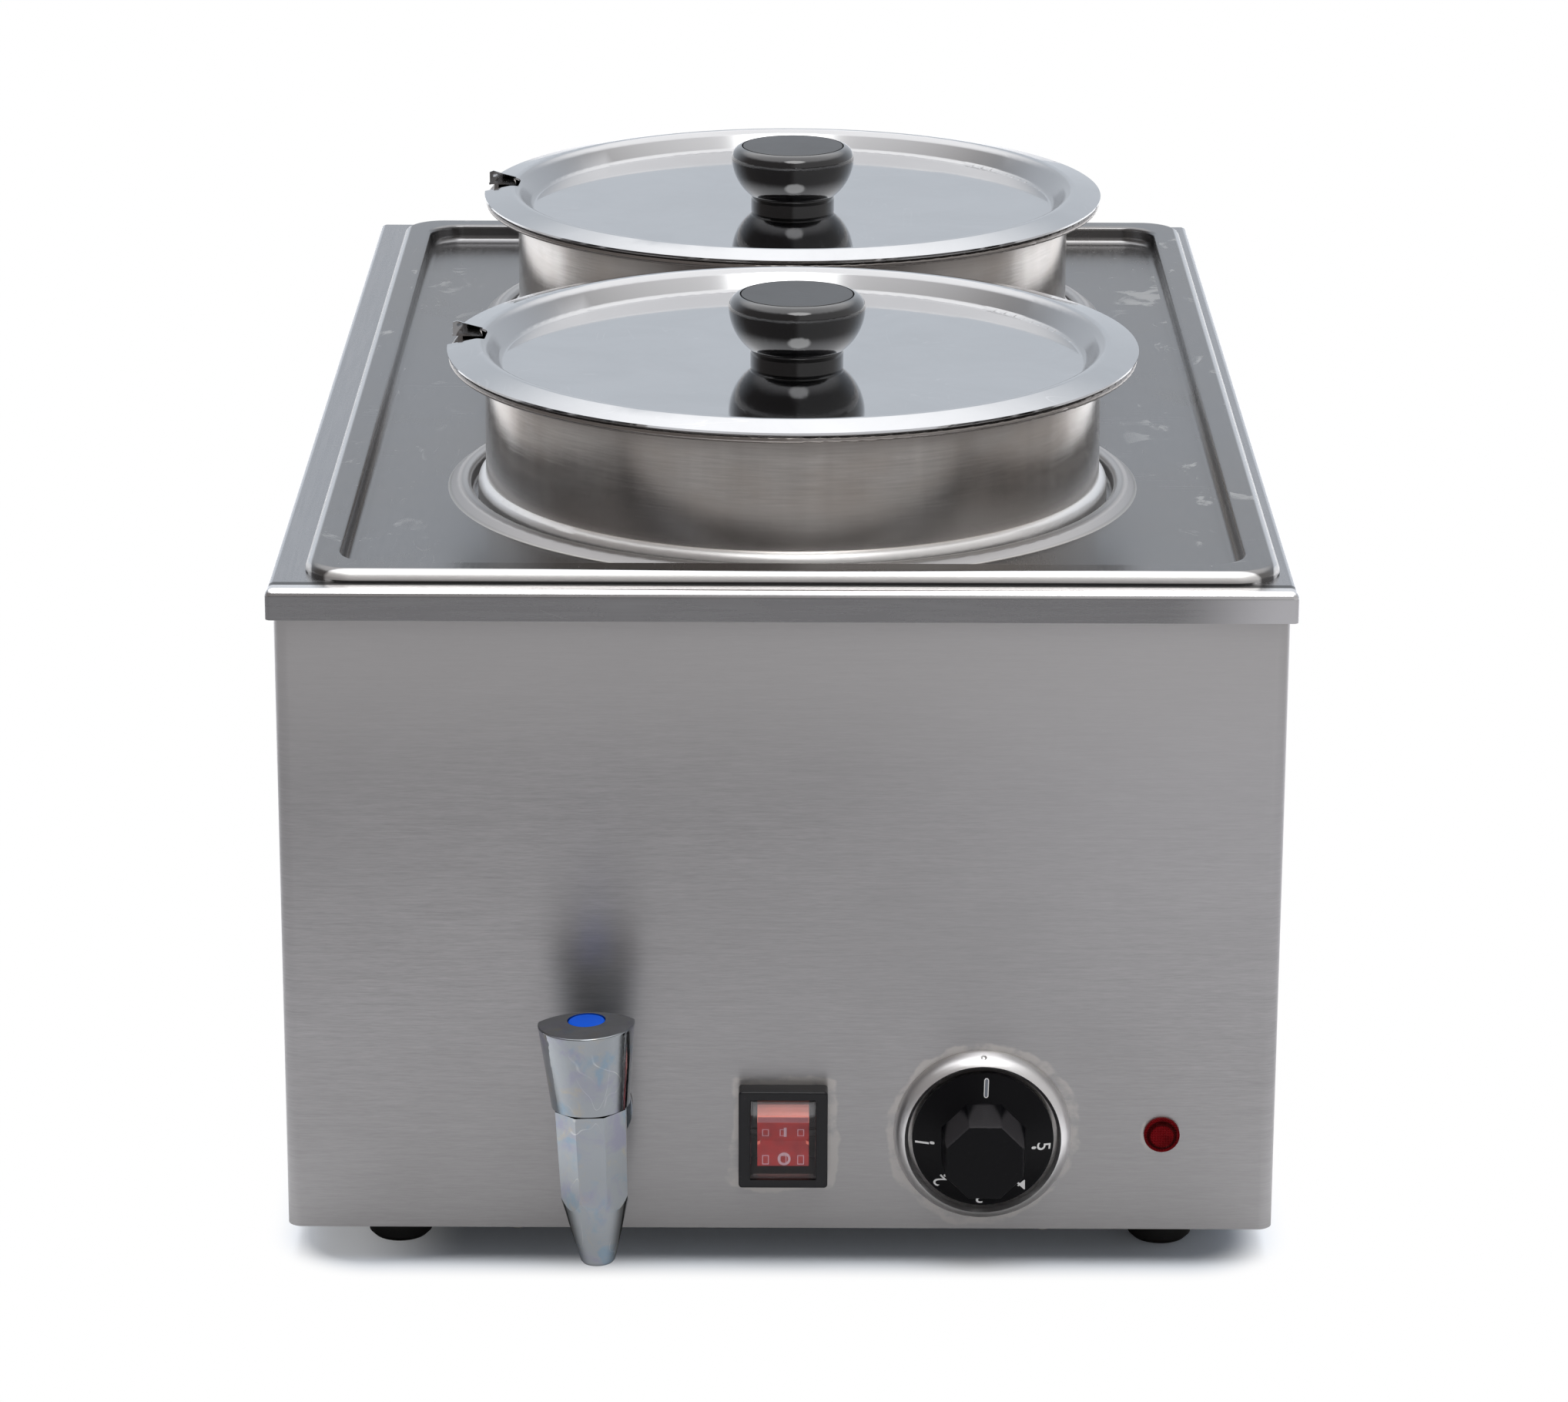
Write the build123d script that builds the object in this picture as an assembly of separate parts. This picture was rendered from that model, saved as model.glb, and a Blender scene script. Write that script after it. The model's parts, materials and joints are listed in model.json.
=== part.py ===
from build123d import *
import os
from math import atan2, cos, sin

os.makedirs("parts", exist_ok=True)

# A two-pot bain marie. Millimetres, +Z up, the front faces -Y and the feet stand on z = 0.
# Everything is drawn about the casing's centre. On saving it moves along Y, so that the
# origin lies under the middle of the whole outline, tap and cable gland included.

# Casing
sheet = 1.0
foot_height = 15.0
casing_width = 336.8
casing_depth = 544.0
casing_height = 227.6
front_bend = 4.0
return_width = 12.0
base_thickness = 1.0
base_inset = 3.0
panel_screw_radius = 1.7
panel_screw_hole = 1.9
panel_screw_head = 3.4
panel_screw_length = 7.0
base_screw_ys = (-190.0, 0.0, 190.0)
base_screw_xs = (-90.0, 90.0)
rear_screw_zs = (40.0, 125.0, 210.0)

# Air slots: their size, and where the middles of the first row and column lie
louvre_size = (16.0, 2.5)
louvre_pitch = (22.0, 9.0)
louvre_start = (-105.0, 36.0)
louvre_counts = (7, 4)
base_slot_size = (4.0, 60.0)
base_slot_pitch = (22.0, 140.0)
base_slot_start = (-77.0, -60.0)
base_slot_counts = (8, 2)

# Water well, a gastronorm 1/1 tank whose flange hangs over the casing
flange_overhang = 2.3
flange_thickness = 1.2
skirt_height = 10.5
flange_edge_round = 2.6
well_width = 312.0
well_length = 517.0
well_depth = 151.6
well_corner = 18.0
well_floor_round = 12.0
bracket_length = 40.0
bracket_drop = 15.0
bracket_sheet = 1.2
bracket_ys = (-150.0, 150.0)

# Cover plate and its two collared holes
plate_width = 325.0
plate_length = 530.0
plate_shift = 3.5
plate_height = 4.1
plate_corner = 16.0
plate_rim_round = 3.2
rim_width = 11.5
recess_floor = -3.1
recess_corner = 13.0
hole_spacing = 252.0
hole_clearance = 2.35
collar_height = 2.7
collar_top_width = 4.5
collar_width = 7.75
seat_drop = 5.6

# Pots
pot_radius = 108.6
pot_sheet = 0.8
pot_height = 150.0
pot_above_ledge = 45.3
pot_rim_width = 12.6
pot_rim_bead = 1.2
pot_floor_round = 14.0
pot_clearance = 0.8
shoulder_top = 2.3
shoulder_width = 2.8

# Lids
lid_overhang = 0.4
lid_sheet = 0.8
lid_panel_drop = 4.3
lid_panel_clearance = 4.3
lid_border_width = 12.0
lid_crown_rise = 3.5
lid_edge_rise = 0.8
hem_inset = 2.0
hem_width = 1.6
notch_angle = 177.0
notch_width = 15.0
notch_depth = 13.0
notch_corner = 3.0
tab_length = 11.0
tab_rise = 3.0

# Lid knobs
neck_radius = 16.5
knob_radius = 24.2
knob_height = 23.6
knob_widest = 19.6
spacer_height = 3.0
bowl_start = 3.9
# The front knob stands a little to the right of its lid's middle.
knob_offsets = {"front": 1.4, "rear": 0.0}
disc_radius = 19.8
disc_thickness = 1.4
knob_screw_radius = 2.5

# Controls, measured from the casing's underside and centre line
control_height = 35.0
switch_x = 1.0
switch_window = (22.4, 29.0)
switch_wall = (2.1, 1.3)
switch_lip = (1.8, 1.7)
switch_frame_out = 7.0
switch_body_depth = 26.0
rocker_width = 17.5
rocker_half_height = 11.4
rocker_face_half = 8.6
rocker_reach = 8.1
rocker_dip = 2.2
rocker_waist = 1.3
rocker_pivot_depth = 1.0
rocker_tilt = 10.0
cover_gap = (0.2, 0.5)
cover_reach = 12.3
cover_high_slope = 3.1
cover_low_slope = 2.5
cover_wall = 0.8

knob_x = 68.8
dial_radius = 24.0
dial_clearance = 1.4
bezel_width = 4.9
bezel_height = 6.0
bezel_foot = 0.8
bezel_dimple = 1.3
dial_gap = 3.0
dial_rim = 2.5
dial_cone = 4.0
grip_base = 28.6
grip_front = 26.0
grip_length = 17.0
shaft_radius = 3.0
thermostat_half_width = 22.0
thermostat_below = 18.0
thermostat_above = 20.0
thermostat_depth = 25.0
thermostat_screw_side = 14.0
thermostat_screw_radius = 2.0

lamp_x = 129.8
lamp_flange_radius = 6.1
lamp_lens_radius = 4.6
lamp_body_radius = 5.0
lamp_body_depth = 22.0
blade_depth = 9.0

# Tap: the upright part stands off the panel and leans a little to the left
tap_x = -62.7
tap_height = 44.9
tap_offset = 33.0
tap_lean = -2.2
barrel_flats = 23.4
barrel_flats_low = 21.2
barrel_top = 13.0
cone_start = -22.0
nozzle_radius = 5.85
nozzle_end = -42.8
nozzle_bore = 3.75
handle_base_radius = 13.1
handle_bottom = 13.9
handle_top = 43.5
handle_half_width = 16.1
handle_front = 18.3
handle_back = 7.7
handle_edge_round = 0.5
button_radius = 6.4
shank_radius = 10.4
shank_bore = 6.0
shank_inside = 22.0
shank_flange_width = 2.2
gasket_thickness = 1.0
nut_wall = 3.1
thread_gap = 0.05

# Drain
drain_y = -222.0
pipe_radius = 9.5
pipe_bore = 7.0
pipe_bend = 16.0
drain_flange_width = 6.6
drain_tail = 14.0

# Heating
element_radius = 4.0
element_half_span = 100.0
element_inner_run = 35.0
element_front = -140.0
element_back = 180.0
element_bend = 30.0
touch_gap = 0.15
shield_size = (262.0, 372.0)
stud_radius = 2.5
stud_x = 67.5
stud_ys = (-80.0, 130.0)
bulb_radius = 3.0
bulb_length = 80.0
bulb_y = -170.0
capillary_radius = 1.0
cutout_place = (40.0, -205.0)
cutout_radius = 9.0
small_nut_flats = 8.0
small_nut_height = 4.0

# Feet
foot_x = 132.0
foot_inset = 32.0
foot_top_radius = 12.0
foot_bottom_radius = 10.9
foot_recess_radius = 5.2
foot_recess_depth = 8.0
foot_screw_radius = 2.5

# Rear, and the fittings behind it
gland_x = 110.0
gland_height = 35.0
gland_reach = 24.0
gland_radius = 10.0
gland_bore = 4.5
gland_flats = 24.0
gland_hex = 5.0
gland_dome_radius = 11.6
terminal_place = (100.0, 190.0)
terminal_half = (30.0, 11.0)
terminal_pitch = 19.0
terminal_height = 20.0
earth_place = (45.0, 200.0)
wire_radius = 1.2

# Sizes that follow from the ones above
casing_bottom = foot_height
ledge = casing_bottom + casing_height
casing_top = ledge - flange_thickness
front = -casing_depth / 2
rear = casing_depth / 2
side = casing_width / 2
inner_front = front + sheet
inner_rear = rear - sheet
inner_side = side - sheet
base_bottom = casing_bottom - base_thickness
well_bottom = ledge - well_depth
well_underside = well_bottom - sheet
plate_top = ledge + plate_height
floor_top = ledge + recess_floor
collar_top = floor_top + collar_height
seat_top = ledge - seat_drop
pot_top = ledge + pot_above_ledge
pot_bottom = pot_top - pot_height
panel_under = pot_top - lid_panel_drop
panel_top = panel_under + lid_sheet
hole_radius = pot_radius + shoulder_width + hole_clearance
collar_foot = hole_radius + collar_width
pot_rim_radius = pot_radius + pot_rim_width
lid_radius = pot_rim_radius + lid_overhang
lid_panel_radius = pot_radius - pot_sheet - lid_panel_clearance
lid_crown_radius = lid_radius - lid_border_width
hem_outer = lid_radius - hem_inset
hem_inner = hem_outer - hem_width
switch_body = (switch_window[0] + 2 * switch_wall[0], switch_window[1] + 2 * switch_wall[1])
switch_frame = (switch_body[0] + 2 * switch_lip[0], switch_body[1] + 2 * switch_lip[1])
cover_size = (switch_window[0] - 2 * cover_gap[0], switch_window[1] - 2 * cover_gap[1])
bezel_inner = dial_radius + dial_clearance
bezel_outer = bezel_inner + bezel_width
shank_flange_radius = shank_radius + shank_flange_width
drain_flange_radius = shank_radius + drain_flange_width
nut_flats = 2 * (shank_radius + nut_wall)
hole_ys = {"front": -hole_spacing / 2, "rear": hole_spacing / 2}
control_z = casing_bottom + control_height
tap_z = casing_bottom + tap_height
tap_y = front - tap_offset
gland_z = casing_bottom + gland_height
origin_shift = (tap_offset + handle_front - gland_reach) / 2
feet = [(sx * foot_x, sy * (casing_depth / 2 - foot_inset)) for sx in (-1, 1) for sy in (-1, 1)]
studs = [(sx * stud_x, y) for sx in (-1, 1) for y in stud_ys]


def save(node, shape):
    export_step(Pos(0, origin_shift, 0) * shape, f"parts/{node}.step")


def block(x0, x1, y0, y1, z0, z1):
    middle = Pos((x0 + x1) / 2, (y0 + y1) / 2, (z0 + z1) / 2)
    return middle * Box(x1 - x0, y1 - y0, z1 - z0)


def upright(radius, x, y, z0, z1):
    return Pos(x, y, (z0 + z1) / 2) * Cylinder(radius, z1 - z0)


def lying(radius, x, z, y0, y1):
    return Pos(x, (y0 + y1) / 2, z) * Rot(90, 0, 0) * Cylinder(radius, y1 - y0)


def hexagon(flats, height):
    return extrude(RegularPolygon(flats / 2, 6, major_radius=False), height)


def lying_nut(flats, hole, x, z, y0, y1):
    nut = hexagon(flats, y1 - y0) - Pos(0, 0, (y1 - y0) / 2) * Cylinder(hole, y1 - y0)
    return Pos(x, y1, z) * Rot(90, 0, 0) * nut


def upright_nut(flats, hole, x, y, z0, z1):
    nut = hexagon(flats, z1 - z0) - Pos(0, 0, (z1 - z0) / 2) * Cylinder(hole, z1 - z0)
    return Pos(x, y, z0) * nut


def rounded_prism(width, length, corner, z0, z1, x=0.0):
    return Pos(x, 0, z0) * extrude(RectangleRounded(width, length, corner), z1 - z0)


def edges_at(shape, z):
    return shape.edges().filter_by_position(Axis.Z, z - 0.01, z + 0.01)


def side_step(points, thickness):
    # The same path, moved by the thickness to the left of the way it runs.
    moved = []
    last = len(points) - 1
    for i, (x, y) in enumerate(points):
        before = points[i - 1] if i else (2 * x - points[1][0], 2 * y - points[1][1])
        after = points[i + 1] if i < last else (2 * x - before[0], 2 * y - before[1])
        a = atan2(y - before[1], x - before[0])
        b = atan2(after[1] - y, after[0] - x)
        reach = thickness / cos((b - a) / 2)
        moved.append((x - reach * sin((a + b) / 2), y + reach * cos((a + b) / 2)))
    return moved


def bent_sheet(points, bends, thickness):
    # A strip of sheet that lies to the left of its path, with an inside radius for each bend.
    inner = side_step(points, thickness)
    outer_radii = []
    inner_radii = []
    for i, bend in enumerate(bends):
        ax, ay = points[i + 1][0] - points[i][0], points[i + 1][1] - points[i][1]
        bx, by = points[i + 2][0] - points[i + 1][0], points[i + 2][1] - points[i + 1][1]
        turns_left = ax * by - ay * bx > 0
        outer_radii.append(bend + thickness if turns_left else bend)
        inner_radii.append(bend if turns_left else bend + thickness)
    outline = FilletPolyline(*points, radius=outer_radii)
    outline += Line(points[-1], inner[-1])
    outline += FilletPolyline(*inner, radius=inner_radii)
    outline += Line(inner[0], points[0])
    return make_face(outline)


def spun(face, x=0.0, y=0.0):
    return Pos(x, y, 0) * revolve(Plane.XZ * face, Axis.Z)


def tube(points, bends, radius, bore=0.0):
    path = FilletPolyline(*points, radius=bends)
    start = Plane(origin=path @ 0, z_dir=path % 0)
    pipe = sweep(start * Circle(radius), path=path)
    if bore:
        pipe -= sweep(start * Circle(bore), path=path)
    return pipe


def make_casing():
    corner = side - return_width
    plan = [(-corner, rear - sheet), (-side, rear - sheet), (-side, front),
            (side, front), (side, rear - sheet), (corner, rear - sheet)]
    walls = extrude(bent_sheet(plan, [0.6, front_bend, front_bend, 0.6], sheet), casing_top - casing_bottom)
    wrap = Pos(0, 0, casing_bottom) * walls
    lip_rear = rear - return_width - 2 * sheet
    lip = block(-inner_side - sheet / 2, inner_side + sheet / 2, inner_front - sheet / 2, lip_rear,
                casing_bottom, casing_bottom + sheet)
    lip -= block(-inner_side + return_width, inner_side - return_width, inner_front + return_width, lip_rear,
                 casing_bottom, casing_bottom + sheet)
    plan_corners = RectangleRounded(casing_width, casing_depth * 2, front_bend + sheet)
    trim = Pos(0, casing_depth / 2, casing_bottom) * extrude(plan_corners, sheet)
    wrap += lip & trim
    switch_cut = (switch_body[0] + 0.6, switch_body[1] + 0.6)
    wrap -= block(switch_x - switch_cut[0] / 2, switch_x + switch_cut[0] / 2, front - 1, inner_front + 1,
                  control_z - switch_cut[1] / 2, control_z + switch_cut[1] / 2)
    wrap -= lying(shaft_radius + 2.5, knob_x, control_z, front - 1, inner_front + 1)
    for sx in (-1, 1):
        wrap -= lying(thermostat_screw_radius + 0.1, knob_x + sx * thermostat_screw_side, control_z,
                      front - 1, inner_front + 1)
    wrap -= lying(lamp_body_radius + 0.4, lamp_x, control_z, front - 1, inner_front + 1)
    wrap -= lying(shank_radius + 0.4, tap_x, tap_z, front - 1, inner_front + 1)
    for x, y in base_screw_places():
        wrap -= upright(panel_screw_hole, x, y, casing_bottom - 1, casing_bottom + sheet + 1)
    for x, z in rear_screw_places():
        wrap -= lying(panel_screw_hole, x, z, inner_rear - sheet - 1, inner_rear)
    save("casing_wrap", wrap)


def base_screw_places():
    lip_middle = inner_side - return_width / 2
    sides = [(sx * lip_middle, y) for sx in (-1, 1) for y in base_screw_ys]
    return sides + [(x, inner_front + return_width / 2) for x in base_screw_xs]


def rear_screw_places():
    column = side - sheet - return_width / 2
    return [(sx * column, z) for sx in (-1, 1) for z in rear_screw_zs]


def make_rear_panel():
    panel = block(-side, side, inner_rear, rear, casing_bottom, casing_top)
    lip_side = inner_side - return_width - 0.5
    panel += block(-lip_side, lip_side, inner_rear - return_width, inner_rear,
                   casing_bottom, casing_bottom + sheet)
    panel -= lying(gland_radius + 0.3, gland_x, gland_z, inner_rear - 1, rear + 1)
    half_w, half_h = louvre_size[0] / 2, louvre_size[1] / 2
    for column in range(louvre_counts[0]):
        for row in range(louvre_counts[1]):
            x = louvre_start[0] + column * louvre_pitch[0]
            z = louvre_start[1] + row * louvre_pitch[1]
            panel -= block(x - half_w, x + half_w, inner_rear - 1, rear + 1, z - half_h, z + half_h)
    for x, z in rear_screw_places():
        panel -= lying(panel_screw_hole, x, z, inner_rear - 1, rear + 1)
    save("rear_panel", panel)


def make_base():
    half_x = side - base_inset
    base = rounded_prism(2 * half_x, casing_depth - 2 * base_inset, 4, base_bottom, casing_bottom)
    for x, y in feet:
        base -= upright(foot_screw_radius + 0.2, x, y, base_bottom - 1, casing_bottom + 1)
    for x, y in base_screw_places():
        base -= upright(panel_screw_hole, x, y, base_bottom - 1, casing_bottom + 1)
    half_w, half_l = base_slot_size[0] / 2, base_slot_size[1] / 2
    for column in range(base_slot_counts[0]):
        for row in range(base_slot_counts[1]):
            x = base_slot_start[0] + column * base_slot_pitch[0]
            y = base_slot_start[1] + row * base_slot_pitch[1]
            base -= block(x - half_w, x + half_w, y - half_l, y + half_l, base_bottom - 1, casing_bottom + 1)
    save("base_plate", base)


def make_feet():
    outline = Polyline((foot_screw_radius + 0.2, base_bottom), (foot_top_radius, base_bottom),
                       (foot_bottom_radius, 1.6), (foot_bottom_radius - 1.6, 0),
                       (foot_recess_radius, 0), (foot_recess_radius, foot_recess_depth),
                       (foot_screw_radius + 0.2, foot_recess_depth), (foot_screw_radius + 0.2, base_bottom))
    foot = spun(make_face(outline))
    head = upright(4.4, 0, 0, foot_recess_depth - 2.6, foot_recess_depth)
    slot = block(-4.4, 4.4, -0.6, 0.6, foot_recess_depth - 2.7, foot_recess_depth - 1.6)
    screw = head - slot + upright(foot_screw_radius, 0, 0, foot_recess_depth - 1, casing_bottom + 7)
    nut = upright_nut(small_nut_flats, foot_screw_radius + thread_gap, 0, 0,
                      casing_bottom, casing_bottom + small_nut_height)
    save("rubber_feet", Compound([Pos(x, y, 0) * foot for x, y in feet]))
    save("foot_screws", Compound([Pos(x, y, 0) * screw for x, y in feet]))
    save("foot_nuts", Compound([Pos(x, y, 0) * nut for x, y in feet]))


def self_tapping_screw():
    # Its head sits on z = 0 and its thread points down.
    dome = fillet(edges_at(upright(panel_screw_head, 0, 0, 0, 1.4), 1.4), 1.0)
    dome -= Pos(0, 0, 1.4) * (Box(3.6, 0.8, 1.4) + Box(0.8, 3.6, 1.4))
    return dome + upright(panel_screw_radius, 0, 0, -panel_screw_length, 0.1)


def make_panel_screws():
    screw = self_tapping_screw()
    base = [Pos(x, y, base_bottom) * Rot(180, 0, 0) * screw for x, y in base_screw_places()]
    back = [Pos(x, rear, z) * Rot(-90, 0, 0) * screw for x, z in rear_screw_places()]
    save("base_screws", Compound(base))
    save("rear_screws", Compound(back))


def make_well():
    width = casing_width + 2 * flange_overhang
    length = casing_depth + 2 * flange_overhang
    skirt_bottom = ledge - skirt_height
    cap = rounded_prism(width, length, 2.0, skirt_bottom, ledge)
    cap = fillet(edges_at(cap, ledge), flange_edge_round)
    inside = rounded_prism(width - 2 * flange_thickness, length - 2 * flange_thickness, 0.8,
                           skirt_bottom - 1, ledge - flange_thickness)
    inside_bend = min(flange_edge_round - flange_thickness, flange_overhang - flange_thickness - 0.1)
    inside = fillet(edges_at(inside, ledge - flange_thickness), inside_bend)
    well = cap - inside
    tub = rounded_prism(well_width + 2 * sheet, well_length + 2 * sheet, well_corner + sheet,
                        well_underside, ledge - flange_thickness / 2)
    tub = fillet(edges_at(tub, well_underside), well_floor_round + sheet)
    hollow = rounded_prism(well_width, well_length, well_corner, well_bottom, ledge + 5)
    hollow = fillet(edges_at(hollow, well_bottom), well_floor_round)
    well = well + tub - hollow
    well -= upright(shank_radius + 0.4, tap_x, drain_y, well_underside - 1, well_bottom + 1)
    save("well_tank", well)

    leg = inner_side - well_width / 2 - sheet - 0.6
    half = bracket_length / 2
    bracket = block(0, leg, -half, half, -bracket_sheet, 0)
    bracket += block(0, bracket_sheet, -half, half, -bracket_drop, 0)
    brackets = []
    for y in bracket_ys:
        brackets.append(Pos(-inner_side, y, casing_top) * bracket)
        brackets.append(Pos(inner_side, y, casing_top) * Rot(0, 0, 180) * bracket)
    save("tank_brackets", Compound(brackets))


def collar(y):
    # A raised ring round the hole, rolled down and in to a ledge that carries the pot.
    ledge_bore = pot_radius + pot_clearance
    path = [(ledge_bore, seat_top - sheet), (hole_radius + sheet, seat_top - sheet),
            (hole_radius + sheet, collar_top - sheet),
            (hole_radius + collar_top_width, collar_top - sheet), (collar_foot, floor_top - sheet),
            (collar_foot + 3, floor_top - sheet)]
    return spun(bent_sheet(path, [0.8, 0.8, 1.2, 1.2], sheet), plate_shift, y)


def make_cover_plate():
    under_rim = plate_top - sheet
    pan = rounded_prism(plate_width, plate_length, plate_corner, ledge, plate_top, plate_shift)
    pan = fillet(edges_at(pan, plate_top), plate_rim_round)
    under = rounded_prism(plate_width - 2 * sheet, plate_length - 2 * sheet, plate_corner - sheet,
                          ledge - 1, under_rim, plate_shift)
    under = fillet(edges_at(under, under_rim), plate_rim_round - sheet)
    pan -= under
    recess_width = plate_width - 2 * rim_width
    recess_length = plate_length - 2 * rim_width
    basin = rounded_prism(recess_width + 2 * sheet, recess_length + 2 * sheet, recess_corner + sheet,
                          floor_top - sheet, plate_top, plate_shift)
    basin = fillet(edges_at(basin, floor_top - sheet), 3.0 + sheet)
    cut = rounded_prism(recess_width, recess_length, recess_corner, floor_top, plate_top + 5, plate_shift)
    cut = fillet(edges_at(cut, floor_top), 3.0)
    pan = pan + (basin & rounded_prism(plate_width, plate_length, plate_corner, floor_top - 5,
                                       plate_top - 0.2, plate_shift)) - cut
    for y in hole_ys.values():
        pan -= upright(collar_foot + 1.5, plate_shift, y, floor_top - 5, plate_top + 5)
        pan += collar(y)
    rim_inner = [e for e in edges_at(pan, plate_top)
                 if abs(e.center().X - plate_shift) < plate_width / 2 - rim_width + 1
                 and abs(e.center().Y) < plate_length / 2 - rim_width + 1]
    pan = fillet(rim_inner, 1.6)
    save("cover_plate", pan)


def make_pot(name, y):
    body = spun(bent_sheet(
        [(0, pot_bottom), (pot_radius, pot_bottom), (pot_radius, pot_top - pot_sheet),
         (pot_rim_radius - pot_rim_bead, pot_top - pot_sheet)],
        [pot_floor_round, 3.0], pot_sheet))
    bead = spun(Pos(pot_rim_radius - pot_rim_bead, pot_top - pot_rim_bead) * Circle(pot_rim_bead))
    outer = pot_radius + shoulder_width
    crest = ledge + shoulder_top
    inner = pot_radius - 0.2
    ring = Polyline((inner, crest), (inner, seat_top), (outer, seat_top), (outer, crest - 3.7))
    ring += ThreePointArc((outer, crest - 3.7), (outer - 0.6, crest - 1.7), (inner, crest))
    save(f"pot_{name}", Pos(plate_shift, y, 0) * (body + bead + spun(make_face(ring))))


def lid_notch():
    inner = lid_radius - notch_depth
    slot = RectangleRounded(2 * notch_depth, notch_width, notch_corner)
    cut = Pos(inner + notch_depth, 0, panel_under - 1) * extrude(slot, 20)
    return Rot(0, 0, notch_angle) * cut


def lid_tab():
    # The notch's rear edge is bent up into a small tab that grows towards the rim.
    start = lid_radius - tab_length
    end = lid_radius - 0.4
    low = pot_top + lid_edge_rise + 0.2
    crown = pot_top + lid_crown_rise
    outline = Polyline((start, low), (end, low), (end, crown + tab_rise - 0.6), (end - 1.5, crown + tab_rise),
                       (end - 4.0, crown + tab_rise - 0.8), (start, crown + 0.6), (start, low))
    upright_sheet = Plane(origin=(0, -notch_width / 2, 0), x_dir=(1, 0, 0), z_dir=(0, -1, 0))
    return Rot(0, 0, notch_angle) * extrude(upright_sheet * make_face(outline), lid_sheet)


def make_lid(name, y):
    crown_under = pot_top + lid_crown_rise
    edge_under = pot_top + lid_edge_rise
    sheet_face = bent_sheet([(0, panel_under), (lid_panel_radius, panel_under),
                             (lid_crown_radius, crown_under), (lid_radius, edge_under)],
                            [3.0, 4.0], lid_sheet)
    slope = (crown_under - edge_under) / (lid_radius - lid_crown_radius)
    hem_under = edge_under + (lid_radius - hem_inner) * slope
    hem = make_face(Polyline((hem_inner, pot_top), (hem_outer, pot_top), (hem_outer, hem_under),
                             (hem_inner, hem_under + 0.2), (hem_inner, pot_top)))
    lid = spun(sheet_face) + spun(hem)
    lid -= lid_notch()
    lid += lid_tab()
    lid -= upright(knob_screw_radius + 0.2, knob_offsets[name], 0, panel_under - 1, panel_top + 1)
    save(f"lid_{name}", Pos(plate_shift, y, 0) * lid)


def make_lid_knob(name, y):
    place = Pos(plate_shift + knob_offsets[name], y, 0)
    base = panel_top + spacer_height
    widest = panel_top + knob_widest
    top = panel_top + knob_height
    hole = knob_screw_radius + thread_gap
    screw_end = panel_top + 14.0

    spacer_face = make_face(Polyline((hole, panel_top), (neck_radius, panel_top), (neck_radius, base - 0.6),
                                     (neck_radius - 0.6, base), (hole, base), (hole, panel_top)))
    save(f"knob_spacer_{name}", place * spun(spacer_face))

    neck_top = panel_top + bowl_start
    side_line = Line((neck_radius, base + 0.6), (neck_radius, neck_top))
    bowl = ThreePointArc((neck_radius, neck_top), (neck_radius + 5.2, neck_top + 5.9), (knob_radius, widest))
    brow_end = (disc_radius + 0.4, top - 0.1)
    brow = ThreePointArc((knob_radius, widest), (knob_radius - 1.2, widest + 2.4), brow_end)
    rest = Polyline(brow_end, (disc_radius, top - disc_thickness + 0.2),
                    (disc_radius, top - disc_thickness), (0, top - disc_thickness), (0, screw_end),
                    (hole, screw_end), (hole, base), (neck_radius - 0.6, base), (neck_radius, base + 0.6))
    save(f"lid_knob_{name}", place * spun(make_face(side_line + bowl + brow + rest)))

    disc = upright(disc_radius - 0.1, 0, 0, top - disc_thickness, top)
    save(f"knob_disc_{name}", place * fillet(edges_at(disc, top), 0.3))

    head = upright(4.6, 0, 0, panel_under - 2.6, panel_under)
    head -= Pos(0, 0, panel_under - 2.6) * (Box(5, 1, 2.4) + Box(1, 5, 2.4))
    thread = upright(knob_screw_radius, 0, 0, panel_under - 0.5, screw_end - 1)
    save(f"knob_screw_{name}", place * (head + thread))


def hood(half_w, half_h, hood_front, hood_step, hood_back):
    # The clear hood narrows in height towards its front, above less than below.
    outline = Polyline((hood_back, -half_h), (hood_step, -half_h), (hood_front, cover_low_slope - half_h),
                       (hood_front, half_h - cover_high_slope), (hood_step, half_h), (hood_back, half_h),
                       (hood_back, -half_h))
    side_face = Plane.YZ * make_face(outline)
    return Pos(switch_x - half_w, 0, control_z) * extrude(side_face, 2 * half_w, dir=(1, 0, 0))


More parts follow.
